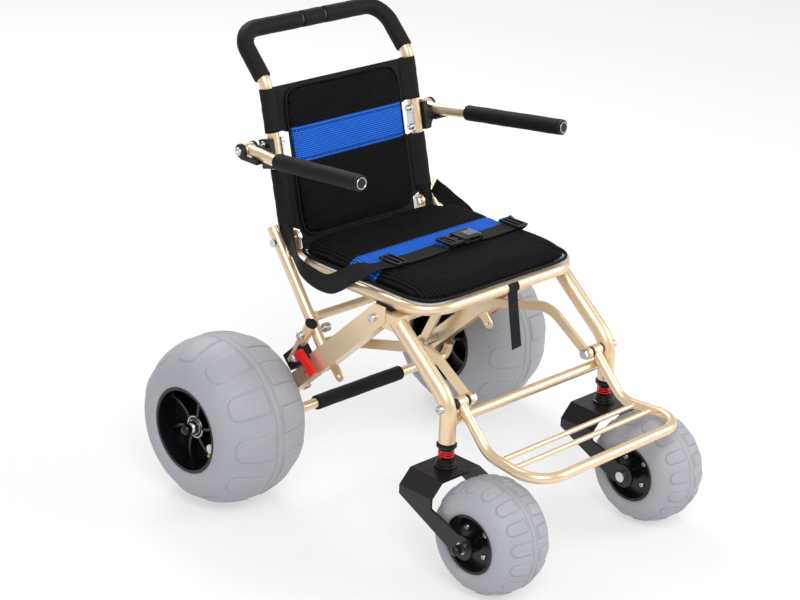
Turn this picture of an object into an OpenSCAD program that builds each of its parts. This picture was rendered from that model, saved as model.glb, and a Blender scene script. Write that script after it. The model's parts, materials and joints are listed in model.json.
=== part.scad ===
// Beach wheelchair with balloon tyres: champagne tube frame, folding back, flip-up arms and footrest.
// Millimetres, +Z up, front towards -Y, the sitter's left towards +X, floor at Z = 0.

/* [Rear wheels] */
// Outer diameter of a rear balloon tyre
rear_tyre_d = 330; // [320:1:334]
// Width of a rear balloon tyre
rear_tyre_w = 210; // [190:1:214]
// Gap between a rear arm and the rear tyre beside it
rear_gap = 10; // [9:0.5:40]
// Diameter of the rear hub's barrel
rear_hub_d = 170; // [150:1:180]
// Diameter of the rear axle rod
axle_d = 20; // [16:0.5:22]

/* [Casters] */
// Outer diameter of a caster tyre
caster_tyre_d = 218; // [200:1:219]
// Width of a caster tyre
caster_tyre_w = 130; // [110:1:140]
// Diameter of the caster hub's barrel
caster_hub_d = 112; // [100:1:120]
// Distance of the fork crown's top above the caster axle
crown_rise = 91; // [89:1:96]
// How far a caster's axle stands ahead of its stem
caster_trail = 122; // [112:1:140]
// Thickness of the fork plate
fork_plate = 5; // [3:0.5:6]
// Gap between tyre and fork leg on each side
fork_gap = 7; // [4:0.5:10]
// Diameter of the caster stem
stem_d = 18; // [14:0.5:20]
// Diameter of the caster axle bolt
caster_axle_d = 12; // [8:0.5:14]
// Wire diameter of the red suspension spring
spring_wire_d = 3; // [2:0.1:3.4]
// Active turns of the suspension spring
spring_turns = 3.5; // [2.5:0.5:4]

/* [Tyre shell] */
// Wall of the moulded tyres
tyre_wall = 9; // [6:0.5:12]

/* [Frame layout] */
// How far the front legs stand outside the seat tubes
leg_outside = 10; // [8:0.5:14]
// How far the front legs reach ahead of their corner blocks
leg_reach = 140; // [136:1:150]
// Depth of the side beam's channel
channel_depth = 42; // [40:0.5:44]
// Sheet thickness of the side beam's channel
channel_sheet = 3; // [2:0.5:4]
// Depth of the side beam's rear arm
arm_depth = 32; // [26:0.5:34]

/* [Tubes] */
// Diameter of the front leg tubes
leg_d = 32; // [30:0.5:34]
// Diameter of the seat loop tube
seat_tube_d = 22; // [18:0.5:22]
// Diameter of the back posts and the handle
back_tube_d = 24; // [20:0.5:24]
// Diameter of the rear posts and the stub tubes
post_d = 22; // [18:0.5:22]
// Diameter of the cross-bars and the lower bar
bar_d = 20; // [16:0.5:21]
// Diameter of the footrest tube
foot_d = 20; // [16:0.5:20]
// Diameter of the footrest rungs
rung_d = 10; // [6:0.5:12]
// Diameter of the arm tubes
arm_d = 22; // [18:0.5:24]
// Diameter of all pivot and frame bolts
bolt_d = 10; // [8:0.5:12]
// Wall of the foam sleeves
foam_wall = 5; // [3:0.5:6]

/* [Seat] */
// Height of the seat loop's axis
seat_z = 468; // [464:1:500]
// Distance of the seat loop's front bar ahead of the rear axle
seat_front = 392; // [380:1:420]
// Distance of the seat loop's rear bar ahead of the rear axle
seat_rear = 60; // [58:1:70]
// Distance between the seat loop's side tubes
seat_width = 424; // [380:1:480]
// Thickness of the seat pad at its crown
pad_thick = 28; // [20:1:34]

/* [Back] */
// Recline of the back posts from upright
recline = 14.2; // [11:0.1:16]
// Height of the back hinge bolt above the seat loop's axis
hinge_rise = 25; // [24:1:29]
// Length of a back post from the hinge bolt to its upper bend
post_rise = 303; // [290:1:360]
// Height of the handle bar above the posts' upper bends
handle_up = 81.3; // [70:0.1:110]
// How far the handle bar stands behind the posts' upper bends
handle_back = 82.7; // [70:0.1:110]
// Thickness of the back pad at its crown
back_pad_thick = 16; // [12:1:20]

/* [Arms] */
// Distance of the arm tips outside the back posts
arm_out = 83; // [80:1:100]
// Height of the arm pivot bolt above the back hinge bolt
arm_rise = 174; // [165:1:190]
// Distance of the arm tips ahead of the rear axle
arm_reach = 272.5; // [220:0.5:330]

/* [Footrest] */
// How far the footrest loop hangs below its pivots
foot_drop = 78; // [70:1:80]
// How far the footrest's front bar reaches ahead of the caster stems
foot_reach = 212; // [205:1:240]

/* [Hidden] */
$fn = 48;
// Clearances: running fit, gap between seated pieces, gap beside a swinging piece
fit = 0.05;
seat_gap = 0.3;
side_gap = 1;
// How far a run laps into a bend, and how much thicker a bend is
bend_lap = 0.6;
bend_swell = 0.1;
// Radii of the tubes, rods and bolts
leg_r = leg_d / 2;
seat_tube_r = seat_tube_d / 2;
back_tube_r = back_tube_d / 2;
post_r = post_d / 2;
bar_r = bar_d / 2;
foot_r = foot_d / 2;
arm_r = arm_d / 2;
bolt_r = bolt_d / 2;
axle_r = axle_d / 2;
stem_r = stem_d / 2;
caster_axle_r = caster_axle_d / 2;
foam_r = back_tube_r + foam_wall;
nut_h = 8;
head_h = 5;
head_over = 3;
eye_over = 0.8;
// Places across the object, from the seat tube outwards
seat_x = seat_width / 2;
leg_x = seat_x + leg_outside;
channel_x_in = leg_x - 16;
channel_x_out = leg_x + 18;
arm_x_in = channel_x_in - 3;
arm_x_out = arm_x_in + 28;
bracket_x_in = arm_x_out - 5;
bracket_x_out = bracket_x_in + 21;
stub_x = (bracket_x_in + bracket_x_out) / 2;
rear_x = arm_x_out + rear_gap + rear_tyre_w / 2;
// Places across the object, from the seat tube inwards
post_x = seat_x + 1;
back_x = post_x - post_r - back_tube_r - side_gap;
hinge_plate = 5;
hinge_plate_x = back_x - back_tube_r - hinge_plate - 4;
foot_eye_half = foot_r + eye_over;
foot_bush = 7.2;
foot_x = leg_x - leg_r - foot_bush - foot_eye_half;
brace_thick = 8;
brace_eye_half = brace_thick / 2 + eye_over;
brace_bush = 7.4;
brace_x = foot_x - foot_eye_half - brace_bush - brace_eye_half;
// Rear wheel places
rear_tyre_r = rear_tyre_d / 2;
axle_z = rear_tyre_r;
rear_hub_r = rear_hub_d / 2;
rear_widest_r = 0.6 * rear_tyre_r;
bead_inset = 7;
hub_lip = 6;
// Heights and distances ahead of the frame's corner blocks
block_top_z = seat_z - 14;
block_low_z = block_top_z - 30;
block_front = seat_front - 46;
block_rear = block_front - 74;
beam_bolt_ahead = block_rear + 16;
beam_bolt_rise = block_top_z - 17 - axle_z;
leg_top = [leg_x, block_front - 14, block_top_z - 14];
// Caster places
caster_tyre_r = caster_tyre_d / 2;
caster_hub_r = caster_hub_d / 2;
stem_ahead = leg_top.y + leg_reach;
caster_ahead = stem_ahead + caster_trail;
caster_widest_r = 0.62 * caster_tyre_r;
fork_in = caster_tyre_w / 2 + fork_gap;
crown_z = caster_tyre_r + crown_rise;
suspension_travel = 8;
boot_h = 18;
spring_h = 20;
spring_low_z = crown_z + boot_h;
collar_z = spring_low_z + spring_h;
collar_h = 11;
collar_r = 19;
leg_end_z = collar_z + collar_h;
stem_top_z = leg_end_z + 27;
// Back hinge and handle places
hinge_u = -3;
hinge_z = seat_z + hinge_rise;
hinge_eye_r = bolt_r + 9;
handle_behind = post_rise * sin(recline) - hinge_u + handle_back;
handle_z = hinge_z + post_rise * cos(recline) + handle_up;
// Fore and aft reach, which puts the origin under the middle of the object
foot_front = stem_ahead + foot_reach;
rear_reach = max(rear_tyre_r, handle_behind + foam_r);
front_reach = max(caster_ahead + caster_tyre_r, foot_front + foot_r);
axle_y = (front_reach - rear_reach) / 2;
// Legs
leg_slope = 39.3;
leg_bend_r = 70;
leg_knee_z = leg_top.z - leg_reach * tan(leg_slope);
leg_arc_z = leg_knee_z - leg_bend_r * tan((90 - leg_slope) / 2);
leg_bolt_angle = 20;
leg_bolt_u = stem_ahead - leg_bend_r * (1 - cos(leg_bolt_angle));
leg_bolt_z = leg_arc_z + leg_bend_r * sin(leg_bolt_angle);
foot_z = leg_bolt_z - foot_drop;
foot_eye_r = max(foot_r + 2, bolt_r + 7);
foot_slope = 45;
stop_bar_reach = (foot_r + bar_r + 2 * seat_gap) / cos(foot_slope);
lower_bar_u = leg_bolt_u + 1;
lower_bar_z = leg_bolt_z - 1 - stop_bar_reach;
// Side beams, placed by their distance along the line from the rear axle to the beam bolt
beam_angle = atan2(beam_bolt_rise, beam_bolt_ahead);
beam_bolt_s = norm([beam_bolt_ahead, beam_bolt_rise]);
channel_from_s = rear_tyre_r + 19;
channel_to_s = beam_bolt_s - 11;
web_to_u = beam_bolt_ahead + 29;
arm_to_s = rear_tyre_r + 65;
axle_boss_r = axle_r + 14;
tab_s = rear_tyre_r + 32;
tab_drop = 20;
tab_r = 11;
tab_hole_r = 4;
// Saddle and latch at the rear end of the channel
bracket_from_s = rear_tyre_r - 43;
bracket_to_s = rear_tyre_r + 16;
bracket_top_p = arm_depth / 2 + 34;
latch_bolt_s = rear_tyre_r - 3;
latch_bolt_p = arm_depth / 2 + 12;
latch_bolt_r = 4;
latch_w = 16;
latch_thick = 8.5;
latch_gap = 1.2;
latch_ridge = 1.6;
// Braces
brace_depth = 18;
brace_rear_s = 42;
brace_eye_r = bolt_r + 7;
// Rear posts and stubs
post_slope = atan2(4, 3);
post_above = 25;
post_bar_z = hinge_z - 127;
post_foot_s = rear_tyre_r + 33;
cap_h = 4;
stop_bolt_rise = 74;
// Seat
sling_thick = 2;
sling_z = seat_z + seat_tube_r + seat_gap;
pad_z = sling_z + sling_thick + seat_gap;
pad_half_w = seat_x - 2;
pad_rear = hinge_u + 26;
pad_front = seat_front + 4;
// Back panel, measured from the hinge bolt along the posts
post_below = 33;
sleeve_wall = 2.5;
sling_front = 0;
back_pad_half_w = back_x - 36;
back_pad_from = -8;
back_pad_to = post_rise - 15;
// Arms, in side distance, distance ahead and height
arm_x = back_x + arm_out;
arm_pivot = [back_x + 51, hinge_u - 65, hinge_z + arm_rise];
arm_knee = arm_pivot + [0, 41, 0];
arm_elbow = [arm_x - 17, arm_knee.y + 55, arm_knee.z + 5.5];
arm_tip = [arm_x, arm_reach, arm_pivot.z + 33];
arm_foam_gap = 8;
arm_eye_r = bolt_r + 8;
ear_gap = 1.5;
ear_thick = 5;
ear_r = 14;
// The arm's pivot and its bracket in the back's own frame
pivot_rel = [arm_pivot.y - hinge_u, arm_rise];
pivot_v = pivot_rel.y * cos(recline) - pivot_rel.x * sin(recline);
pivot_w = pivot_rel.x * cos(recline) + pivot_rel.y * sin(recline);
clamp_h = 56;
clamp_v = pivot_v - 42.6;
clamp_rise = [clamp_v + 10, clamp_v + clamp_h - 8];
lower_sleeve = [-30, clamp_v - 4];
upper_sleeve = [clamp_v + clamp_h + 10, post_rise - 11];

champagne = "#d9bf97";
black = "#1c1c1e";
silver = "#c8ccd0";
tyre_grey = "#a9abb2";
latch_red = "#d8201c";

// A point from its side distance, its distance ahead of the rear axle and its height
function pt(x, u, z) = [x, axle_y - u, z];
function at(p) = pt(p.x, p.y, p.z);
function unit(v) = v / norm(v);
function mix(a, b, t) = a + (b - a) * t;
// A vector square to d, for profiles that are round
function any_side(d) = unit(cross(d, abs(d.z) < 0.9 ? [0, 0, 1] : [1, 0, 0]));

module both() {
    children();
    mirror([1, 0, 0]) children();
}

module right_side() mirror([1, 0, 0]) children();

module frame_at(origin, x_dir, y_dir, z_dir)
    multmatrix([
        [x_dir.x, y_dir.x, z_dir.x, origin.x],
        [x_dir.y, y_dir.y, z_dir.y, origin.y],
        [x_dir.z, y_dir.z, z_dir.z, origin.z],
        [0, 0, 0, 1]])
    children();

// A section to sweep: a disc by its radius, or a bar by its two sizes
module section(size, grow) {
    if (is_num(size)) circle(r = size + grow);
    else square(size + [2 * grow, 2 * grow], center = true);
}

// Sweeps a section along straight runs joined by bends of the given radii.
// Each run laps into its bends, which are drawn a hair thicker, as a bent tube is.
module swept(path, bends, size, side = undef) {
    last = len(path) - 1;
    turn = [for (i = [1:1:last - 1])
        acos(unit(path[i] - path[i - 1]) * unit(path[i + 1] - path[i]))];
    setback = [for (i = [0:last])
        i == 0 || i == last ? 0 : bends[i - 1] * tan(turn[i - 1] / 2)];
    for (i = [0:last - 1]) {
        d = unit(path[i + 1] - path[i]);
        from = path[i] + d * (setback[i] - (i == 0 ? 0 : bend_lap));
        to = path[i + 1] - d * (setback[i + 1] - (i == last - 1 ? 0 : bend_lap));
        y_dir = is_undef(side) ? any_side(d) : side;
        frame_at(from, cross(y_dir, d), y_dir, d)
            linear_extrude(norm(to - from)) section(size, 0);
    }
    for (i = [1:1:last - 1]) {
        a = unit(path[i] - path[i - 1]);
        b = unit(path[i + 1] - path[i]);
        n = unit(b - a * (a * b));
        frame_at(path[i] - a * setback[i] + n * bends[i - 1], -n, a, cross(-n, a))
            rotate_extrude(angle = turn[i - 1]) translate([bends[i - 1], 0]) section(size, bend_swell);
    }
}

// A round rod across the object between two side distances
module lateral(r, x_from, x_to, u, z)
    translate(pt(x_from, u, z)) rotate([0, 90, 0]) cylinder(r = r, h = x_to - x_from);

// Things placed in the beam's own frame: -Y runs up along the beam from the axle, +Z is square to it
module on_beam() translate(pt(0, 0, axle_z)) rotate([-beam_angle, 0, 0]) children();

// Things placed in the back's own frame: +Z runs up along the posts from the hinge, -Y is forward
module on_back() translate(pt(0, hinge_u, hinge_z)) rotate([-recline, 0, 0]) children();

// A place in the beam's frame as side distance, distance ahead and height
function beam_at(x, s, p) = [x,
    s * cos(beam_angle) - p * sin(beam_angle),
    axle_z + s * sin(beam_angle) + p * cos(beam_angle)];

// A flat web strap through points, with the direction of its width at each point
module ribbon(points, sides, width, thick) {
    n = len(points);
    tangent = [for (i = [0:n - 1]) unit(points[min(i + 1, n - 1)] - points[max(i - 1, 0)])];
    ring = [for (i = [0:n - 1])
        let (s = unit(sides[i] - tangent[i] * (sides[i] * tangent[i])), up = cross(tangent[i], s))
        for (c = [[-1, -1], [1, -1], [1, 1], [-1, 1]])
            points[i] + s * (c.x * width / 2) + up * (c.y * thick / 2)];
    walls = [for (i = [0:n - 2]) for (k = [0:3])
        let (a = 4 * i + k, b = 4 * i + (k + 1) % 4) each [[a, a + 4, b + 4], [a, b + 4, b]]];
    ends = [[0, 1, 2], [0, 2, 3], [4 * n - 1, 4 * n - 2, 4 * n - 3], [4 * n - 1, 4 * n - 3, 4 * n - 4]];
    polyhedron(ring, concat(walls, ends));
}

// A stuffed pad: crowned top, drawn-in sides, rounded corners and sewn channels across it
module stuffed_pad(half_w, half_d, thick, pull, hem, channels) {
    nx = 15;
    steps = [-1, -0.96, -0.86, -0.7, -0.5, -0.36, -0.28, -0.2, -0.04, 0.08, 0.16, 0.24, 0.4,
        0.6, 0.8, 0.95, 1];
    ny = len(steps);
    corner = 7;
    function place(a, b) = let (m = max(abs(a), abs(b)),
        f = m == 0 ? 1 : m / pow(pow(abs(a), corner) + pow(abs(b), corner), 1 / corner))
        [half_w * a * f * (1 - pull * cos(90 * b)), half_d * b * f * (1 - pull * cos(90 * a))];
    function groove(b) = max([for (c = channels) exp(-pow((b - c) / 0.035, 2))]);
    function crown(a, b) = sqrt(max(0, (1 - pow(abs(a), 5)) * (1 - pow(abs(b), 5))));
    function top(a, b) = hem + (thick - hem) * crown(a, b) * (1 - 0.16 * groove(b));
    grid_a = [for (i = [0:nx - 1]) sin(90 * (2 * i / (nx - 1) - 1))];
    top_pts = [for (a = grid_a) for (b = steps) let (q = place(a, b)) [q.x, q.y, top(a, b)]];
    low_pts = [for (a = grid_a) for (b = steps) let (q = place(a, b)) [q.x, q.y, 0]];
    size = nx * ny;
    rim = concat([for (i = [0:nx - 2]) i * ny], [for (j = [0:ny - 2]) (nx - 1) * ny + j],
        [for (i = [nx - 1:-1:1]) i * ny + ny - 1], [for (j = [ny - 1:-1:1]) j]);
    faces_top = [for (i = [0:nx - 2]) for (j = [0:ny - 2]) let (k = i * ny + j)
        each [[k, k + 1, k + ny + 1], [k, k + ny + 1, k + ny]]];
    faces_low = [for (f = faces_top) [f[0] + size, f[2] + size, f[1] + size]];
    faces_rim = [for (k = [0:len(rim) - 1]) let (a = rim[k], b = rim[(k + 1) % len(rim)])
        each [[a, b, b + size], [a, b + size, a + size]]];
    polyhedron(concat(top_pts, low_pts), concat(faces_top, faces_low, faces_rim));
}

// Half of a balloon tyre's section, from bead to crown: radius and half width
function tyre_half(r_out, half_w, r_wide, r_bead, w_bead) = concat(
    [for (t = [90:-30:30]) [r_wide - (r_wide - r_bead) * sin(t), w_bead + (half_w - w_bead) * cos(t)]],
    [for (t = [0:10:80]) [r_wide + (r_out - r_wide) * sin(t), half_w * cos(t)]]);
function mirrored(half) = [for (i = [len(half) - 1:-1:0]) [half[i].x, -half[i].y]];

module balloon_tyre(r_out, width, r_wide, r_bead, w_bead) {
    outer = tyre_half(r_out, width / 2, r_wide, r_bead, w_bead);
    inner = tyre_half(r_out - tyre_wall, width / 2 - tyre_wall, r_wide, r_bead, w_bead - tyre_wall);
    rotate([0, 90, 0]) rotate_extrude($fn = 96)
        polygon(concat(outer, [[r_out, 0]], mirrored(outer),
            [for (p = inner) [p.x, -p.y]], [[r_out - tyre_wall, 0]],
            [for (i = [len(inner) - 1:-1:0]) inner[i]]));
}

// Front frame: legs, corner blocks and two cross-bars in one weldment
module front_frame() color(champagne) difference() {
    union() {
        both() {
            swept([at(leg_top), pt(leg_x, stem_ahead, leg_knee_z), pt(leg_x, stem_ahead, leg_end_z)],
                [leg_bend_r], leg_r);
            translate(pt(channel_x_in, block_front, block_low_z))
                cube([channel_x_out - channel_sheet - seat_gap - channel_x_in,
                    block_front - block_rear, block_top_z - block_low_z]);
        }
        lateral(bar_r, -leg_x, leg_x, lower_bar_u, lower_bar_z);
        lateral(bar_r, -channel_x_in - 1, channel_x_in + 1, block_front - bar_d, block_top_z - bar_r - 2);
    }
    both() {
        translate(pt(leg_x, stem_ahead, leg_end_z - 1))
            cylinder(r = stem_r + fit, h = stem_top_z + suspension_travel + 3 - leg_end_z);
        lateral(bolt_r + fit, leg_x - leg_d, leg_x + leg_d, leg_bolt_u, leg_bolt_z);
        lateral(bolt_r + fit, channel_x_in - 1, channel_x_out, beam_bolt_ahead, axle_z + beam_bolt_rise);
    }
}

// One side beam: an open channel at the front, a closed arm down to the axle, and a tab under the joint
module side_beam() color(champagne) difference() {
    union() {
        on_beam() {
            translate([channel_x_in, -channel_to_s, -channel_depth / 2])
                cube([channel_x_out - channel_x_in, channel_to_s - channel_from_s, channel_depth]);
            intersection() {
                translate([channel_x_out - channel_sheet, -beam_bolt_s - 60, -channel_depth / 2])
                    cube([channel_sheet, 80, channel_depth]);
                rotate([beam_angle, 0, 0]) translate([0, -web_to_u, 0])
                    cube([channel_x_out, web_to_u, block_top_z + 12 - axle_z]);
            }
            translate([arm_x_in, -arm_to_s, -arm_depth / 2])
                cube([arm_x_out - arm_x_in, arm_to_s, arm_depth]);
            translate([channel_x_in, -tab_s - tab_r, -channel_depth / 2 - tab_drop])
                cube([channel_sheet, 2 * tab_r, tab_drop + 1]);
            translate([channel_x_in, -tab_s, -channel_depth / 2 - tab_drop]) rotate([0, 90, 0])
                cylinder(r = tab_r, h = channel_sheet);
        }
        lateral(axle_boss_r, arm_x_in, arm_x_out, 0, axle_z);
    }
    on_beam() {
        translate([channel_x_in - 1, -channel_to_s - 1, -channel_depth / 2 + channel_sheet])
            cube([channel_x_out - channel_sheet - channel_x_in + 1,
                channel_to_s - arm_to_s + 1, channel_depth - 2 * channel_sheet]);
        translate([channel_x_in - 1, -tab_s, -channel_depth / 2 - tab_drop]) rotate([0, 90, 0])
            cylinder(r = tab_hole_r, h = channel_sheet + 2);
    }
    lateral(axle_r + fit, arm_x_in - 1, arm_x_out + 1, 0, axle_z);
    lateral(bolt_r + fit, channel_x_in - 1, channel_x_out + 1, beam_bolt_ahead, axle_z + beam_bolt_rise);
    translate(at(beam_at(arm_x_in - 1, brace_rear_s, 0))) rotate([0, 90, 0])
        cylinder(r = bolt_r + fit, h = arm_x_out - arm_x_in + 2);
}

module side_beam_left() side_beam();
module side_beam_right() right_side() side_beam();

// Rear axles: a stub in each arm with a nut inside, a spacer, a washer and a domed cap outside the wheel
rear_hub_face = rear_tyre_w / 2 - hub_lip - 26;
module rear_axle() color(silver) both() {
    axle_end = rear_x + rear_hub_face + 4;
    lateral(axle_r, arm_x_in - nut_h, axle_end, 0, axle_z);
    lateral(axle_r + 5, arm_x_in - nut_h, arm_x_in - seat_gap, 0, axle_z);
    lateral(axle_r + 4, arm_x_out + seat_gap, rear_x - rear_hub_face - side_gap, 0, axle_z);
    lateral(axle_r + 5, rear_x + rear_hub_face + side_gap, axle_end, 0, axle_z);
    translate(pt(axle_end - 1, 0, axle_z)) rotate([0, 90, 0]) {
        cylinder(r = axle_r + 3, h = 1);
        translate([0, 0, 1]) rotate_extrude() intersection() {
            circle(r = axle_r + 3);
            square(axle_r + 3);
        }
    }
}

// Lower bar between the rear arms, with bent ends that meet the arms' undersides
lower_u = 58;
lower_z = 160;
lower_x = (arm_x_in + arm_x_out) / 2;
lower_bend = 26;
module lower_bar() color(champagne) {
    joint_z = axle_z + lower_u * tan(beam_angle) - (arm_depth / 2 + seat_gap) / cos(beam_angle) - bar_r;
    swept([pt(lower_x, lower_u, joint_z), pt(lower_x, lower_u, lower_z), pt(-lower_x, lower_u, lower_z),
        pt(-lower_x, lower_u, joint_z)], [lower_bend, lower_bend], bar_r);
}

lower_foam_x = [57 - lower_x, lower_x - 143];
module lower_bar_foam() color(black) difference() {
    lateral(bar_r + foam_wall, lower_foam_x[0], lower_foam_x[1], lower_u, lower_z);
    lateral(bar_r + seat_gap, lower_foam_x[0] - 1, lower_foam_x[1] + 1, lower_u, lower_z);
}

stub_low = beam_at(stub_x, rear_tyre_r - 35.8, arm_depth / 2 + 18.8);
stub_top = beam_at(stub_x, rear_tyre_r + 60.9, arm_depth / 2 + 49.9);
stub_dir = unit(stub_top - stub_low);
module stub_tubes() color(champagne) difference() {
    both() swept([at(stub_low), at(stub_top)], [], post_r);
    both() stop_bolt_hole();
}

stop_bolt = stub_low + stub_dir * stop_bolt_rise;
module stop_bolt_hole() lateral(bolt_r + fit, stub_x - post_d, stub_x + post_d, stop_bolt.y, stop_bolt.z);

module stub_caps() color(black) both()
    swept([at(stub_top + stub_dir * fit), at(stub_top + stub_dir * cap_h)], [], post_r + 1);

// Black saddle on the rear arm that holds the stub tube and the latch
module latch_brackets() color(black) both() difference() {
    on_beam() translate([bracket_x_in, -bracket_to_s, arm_depth / 2 + seat_gap])
        cube([bracket_x_out - bracket_x_in, bracket_to_s - bracket_from_s, bracket_top_p - arm_depth / 2]);
    swept([at(stub_low), at(stub_top)], [], post_r + seat_gap);
    on_beam() translate([bracket_x_out - latch_sunk, -latch_bolt_s, latch_bolt_p]) rotate([0, 90, 0])
        cylinder(r = latch_bolt_r + fit, h = 2 * latch_sunk);
}

// Red lever: hooks over its bolt, runs forward, then down across the rear end of the channel
latch_sunk = 12;
latch_bolt_place = [-latch_bolt_s, latch_bolt_p];
latch_knee = [-channel_from_s + 6, latch_bolt_p + 1];
latch_tip = [-channel_from_s - 2, -channel_depth / 2 + 1];
latch_prong = [-channel_from_s + 4, -10];
module latch_outline(w) {
    for (place = [latch_bolt_place, latch_knee]) translate(place) circle(d = w + 1);
    for (run = [[latch_bolt_place, latch_knee], [latch_knee, latch_tip]]) {
        d = run[1] - run[0];
        translate(run[0]) rotate(atan2(d.y, d.x)) translate([0, -w / 2]) square([norm(d), w]);
    }
}

module latch() color(latch_red) on_beam() difference() {
    translate([bracket_x_out + latch_gap, 0, 0]) rotate([90, 0, 90]) {
        linear_extrude(latch_thick) {
            latch_outline(latch_w);
            translate(latch_prong) square([14, 6]);
        }
        linear_extrude(latch_thick + latch_ridge) latch_outline(latch_w / 3);
    }
    translate([bracket_x_out, -latch_bolt_s, latch_bolt_p]) rotate([0, 90, 0])
        cylinder(r = latch_bolt_r + fit, h = 30);
    translate([bracket_x_out + latch_gap + latch_thick, -latch_bolt_s, latch_bolt_p]) rotate([0, 90, 0])
        cylinder(r = latch_bolt_r + head_over + 0.5, h = 30);
}

module latch_left() latch();
module latch_right() right_side() latch();

// Bolts through the stub tubes behind the rear posts, and the latch bolts
module stop_bolts() color(silver) both() {
    knob_x = post_x - post_r - 24;
    head_x = stub_x + post_r;
    lateral(bolt_r, knob_x, head_x + head_h + 1, stop_bolt.y, stop_bolt.z);
    lateral(bolt_r + head_over, head_x + seat_gap, head_x + head_h + 1, stop_bolt.y, stop_bolt.z);
    lateral(bolt_r + 4, knob_x, knob_x + 12, stop_bolt.y, stop_bolt.z);
    on_beam() translate([bracket_x_out - latch_sunk, -latch_bolt_s, latch_bolt_p]) rotate([0, 90, 0]) {
        cylinder(r = latch_bolt_r, h = latch_sunk + latch_gap + latch_thick + 4);
        translate([0, 0, latch_sunk + latch_gap + latch_thick + 0.5]) cylinder(r = latch_bolt_r + 2.5, h = 4);
    }
}

// Curved flat brace from the leg bolt to the rear arm
brace_rear = beam_at(brace_x, brace_rear_s, 0);
brace_knees = [[leg_bolt_u - 102, leg_bolt_z + 65], [brace_rear.y + 55.5, brace_rear.z + 112]];
module brace() color(champagne) difference() {
    union() {
        swept([pt(brace_x, leg_bolt_u, leg_bolt_z), for (k = brace_knees) pt(brace_x, k[0], k[1]),
            at(brace_rear)], [70, 60], [brace_depth, brace_thick], side = [1, 0, 0]);
        for (end = [[leg_bolt_u, leg_bolt_z], [brace_rear.y, brace_rear.z]])
            lateral(brace_eye_r, brace_x - brace_eye_half, brace_x + brace_eye_half, end[0], end[1]);
    }
    for (end = [[leg_bolt_u, leg_bolt_z], [brace_rear.y, brace_rear.z]])
        lateral(bolt_r + fit, brace_x - brace_thick, brace_x + brace_thick, end[0], end[1]);
}

module brace_left() brace();
module brace_right() right_side() brace();

// Spacer and bolt that hold the rear end of each brace off the arm
module brace_spacers() color(silver) both() {
    u = brace_rear.y;
    z = brace_rear.z;
    nut_x = brace_x - brace_eye_half - seat_gap;
    lateral(bolt_r, nut_x - nut_h, arm_x_out + 3, u, z);
    lateral(bolt_r + head_over, nut_x - nut_h, nut_x, u, z);
    lateral(bolt_r + 5, brace_x + brace_eye_half + seat_gap, arm_x_in - seat_gap, u, z);
}

// Long bolts through leg, bush, footrest eye, bush and brace eye
module leg_bolts() color(silver) both() {
    head_x = leg_x + leg_r;
    nut_x = brace_x - brace_eye_half - seat_gap;
    lateral(bolt_r, nut_x - nut_h, head_x + head_h, leg_bolt_u, leg_bolt_z);
    lateral(bolt_r + head_over, head_x + seat_gap, head_x + head_h, leg_bolt_u, leg_bolt_z);
    lateral(bolt_r + head_over, nut_x - nut_h, nut_x, leg_bolt_u, leg_bolt_z);
}

module bush(x_from, x_to, u, z) difference() {
    lateral(bolt_r + 5, x_from + seat_gap, x_to - seat_gap, u, z);
    lateral(bolt_r + fit, x_from - 1, x_to + 1, u, z);
}

module leg_bushes() color(black) both() {
    bush(foot_x + foot_eye_half, leg_x - leg_r, leg_bolt_u, leg_bolt_z);
    bush(brace_x + brace_eye_half, foot_x - foot_eye_half, leg_bolt_u, leg_bolt_z);
}

module beam_bolts() color(silver) both() {
    z = axle_z + beam_bolt_rise;
    lateral(bolt_r, channel_x_in - nut_h - seat_gap, channel_x_out + head_h, beam_bolt_ahead, z);
    lateral(bolt_r + head_over, channel_x_out + seat_gap, channel_x_out + head_h, beam_bolt_ahead, z);
    lateral(bolt_r + head_over, channel_x_in - nut_h - seat_gap, channel_x_in - seat_gap, beam_bolt_ahead, z);
}

// Rear posts that prop the seat's hinge off the beams, with a cross-bar
function post_at(z) = [post_x, hinge_u + (hinge_z - z) * cos(post_slope) / sin(post_slope), z];
post_foot = beam_at(post_x, post_foot_s, channel_depth / 2 + seat_gap);
module rear_posts() color(champagne) difference() {
    union() {
        both() intersection() {
            swept([at(post_at(hinge_z + post_above)), at(post_at(post_foot.z - 30))], [], post_r);
            on_beam() translate([0, -600, channel_depth / 2 + seat_gap]) cube([400, 900, 400]);
        }
        lateral(bar_r - 1, -post_x, post_x, post_at(post_bar_z).y, post_bar_z);
    }
    both() {
        lateral(bolt_r + fit, post_x - post_d, post_x + post_d, hinge_u, hinge_z);
        lateral(bolt_r + fit, post_x - post_d, post_x + post_d, stop_bolt.y, stop_bolt.z);
    }
}

// Seat loop with two plates that carry the back hinge
module seat_frame() color(champagne) {
    swept([pt(0, seat_front, seat_z), pt(seat_x, seat_front, seat_z), pt(seat_x, seat_rear, seat_z),
        pt(-seat_x, seat_rear, seat_z), pt(-seat_x, seat_front, seat_z), pt(0, seat_front, seat_z)],
        [70, 40, 40, 70], seat_tube_r);
    both() difference() {
        union() {
            lateral(hinge_eye_r, hinge_plate_x, hinge_plate_x + hinge_plate, hinge_u, hinge_z);
            translate(pt(hinge_plate_x, 0, 0)) rotate([90, 0, 90]) linear_extrude(hinge_plate) polygon([
                [hinge_eye_r - hinge_u, hinge_z], [hinge_eye_r - hinge_u - 7, seat_z - 7],
                [-seat_rear, seat_z - 7], [-seat_rear, seat_z + 7],
                [-hinge_eye_r - hinge_u - 3, seat_z + 7], [-hinge_eye_r - hinge_u, hinge_z]]);
        }
        lateral(bolt_r + fit, hinge_plate_x - 1, hinge_plate_x + hinge_plate + 1, hinge_u, hinge_z);
    }
}

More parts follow.
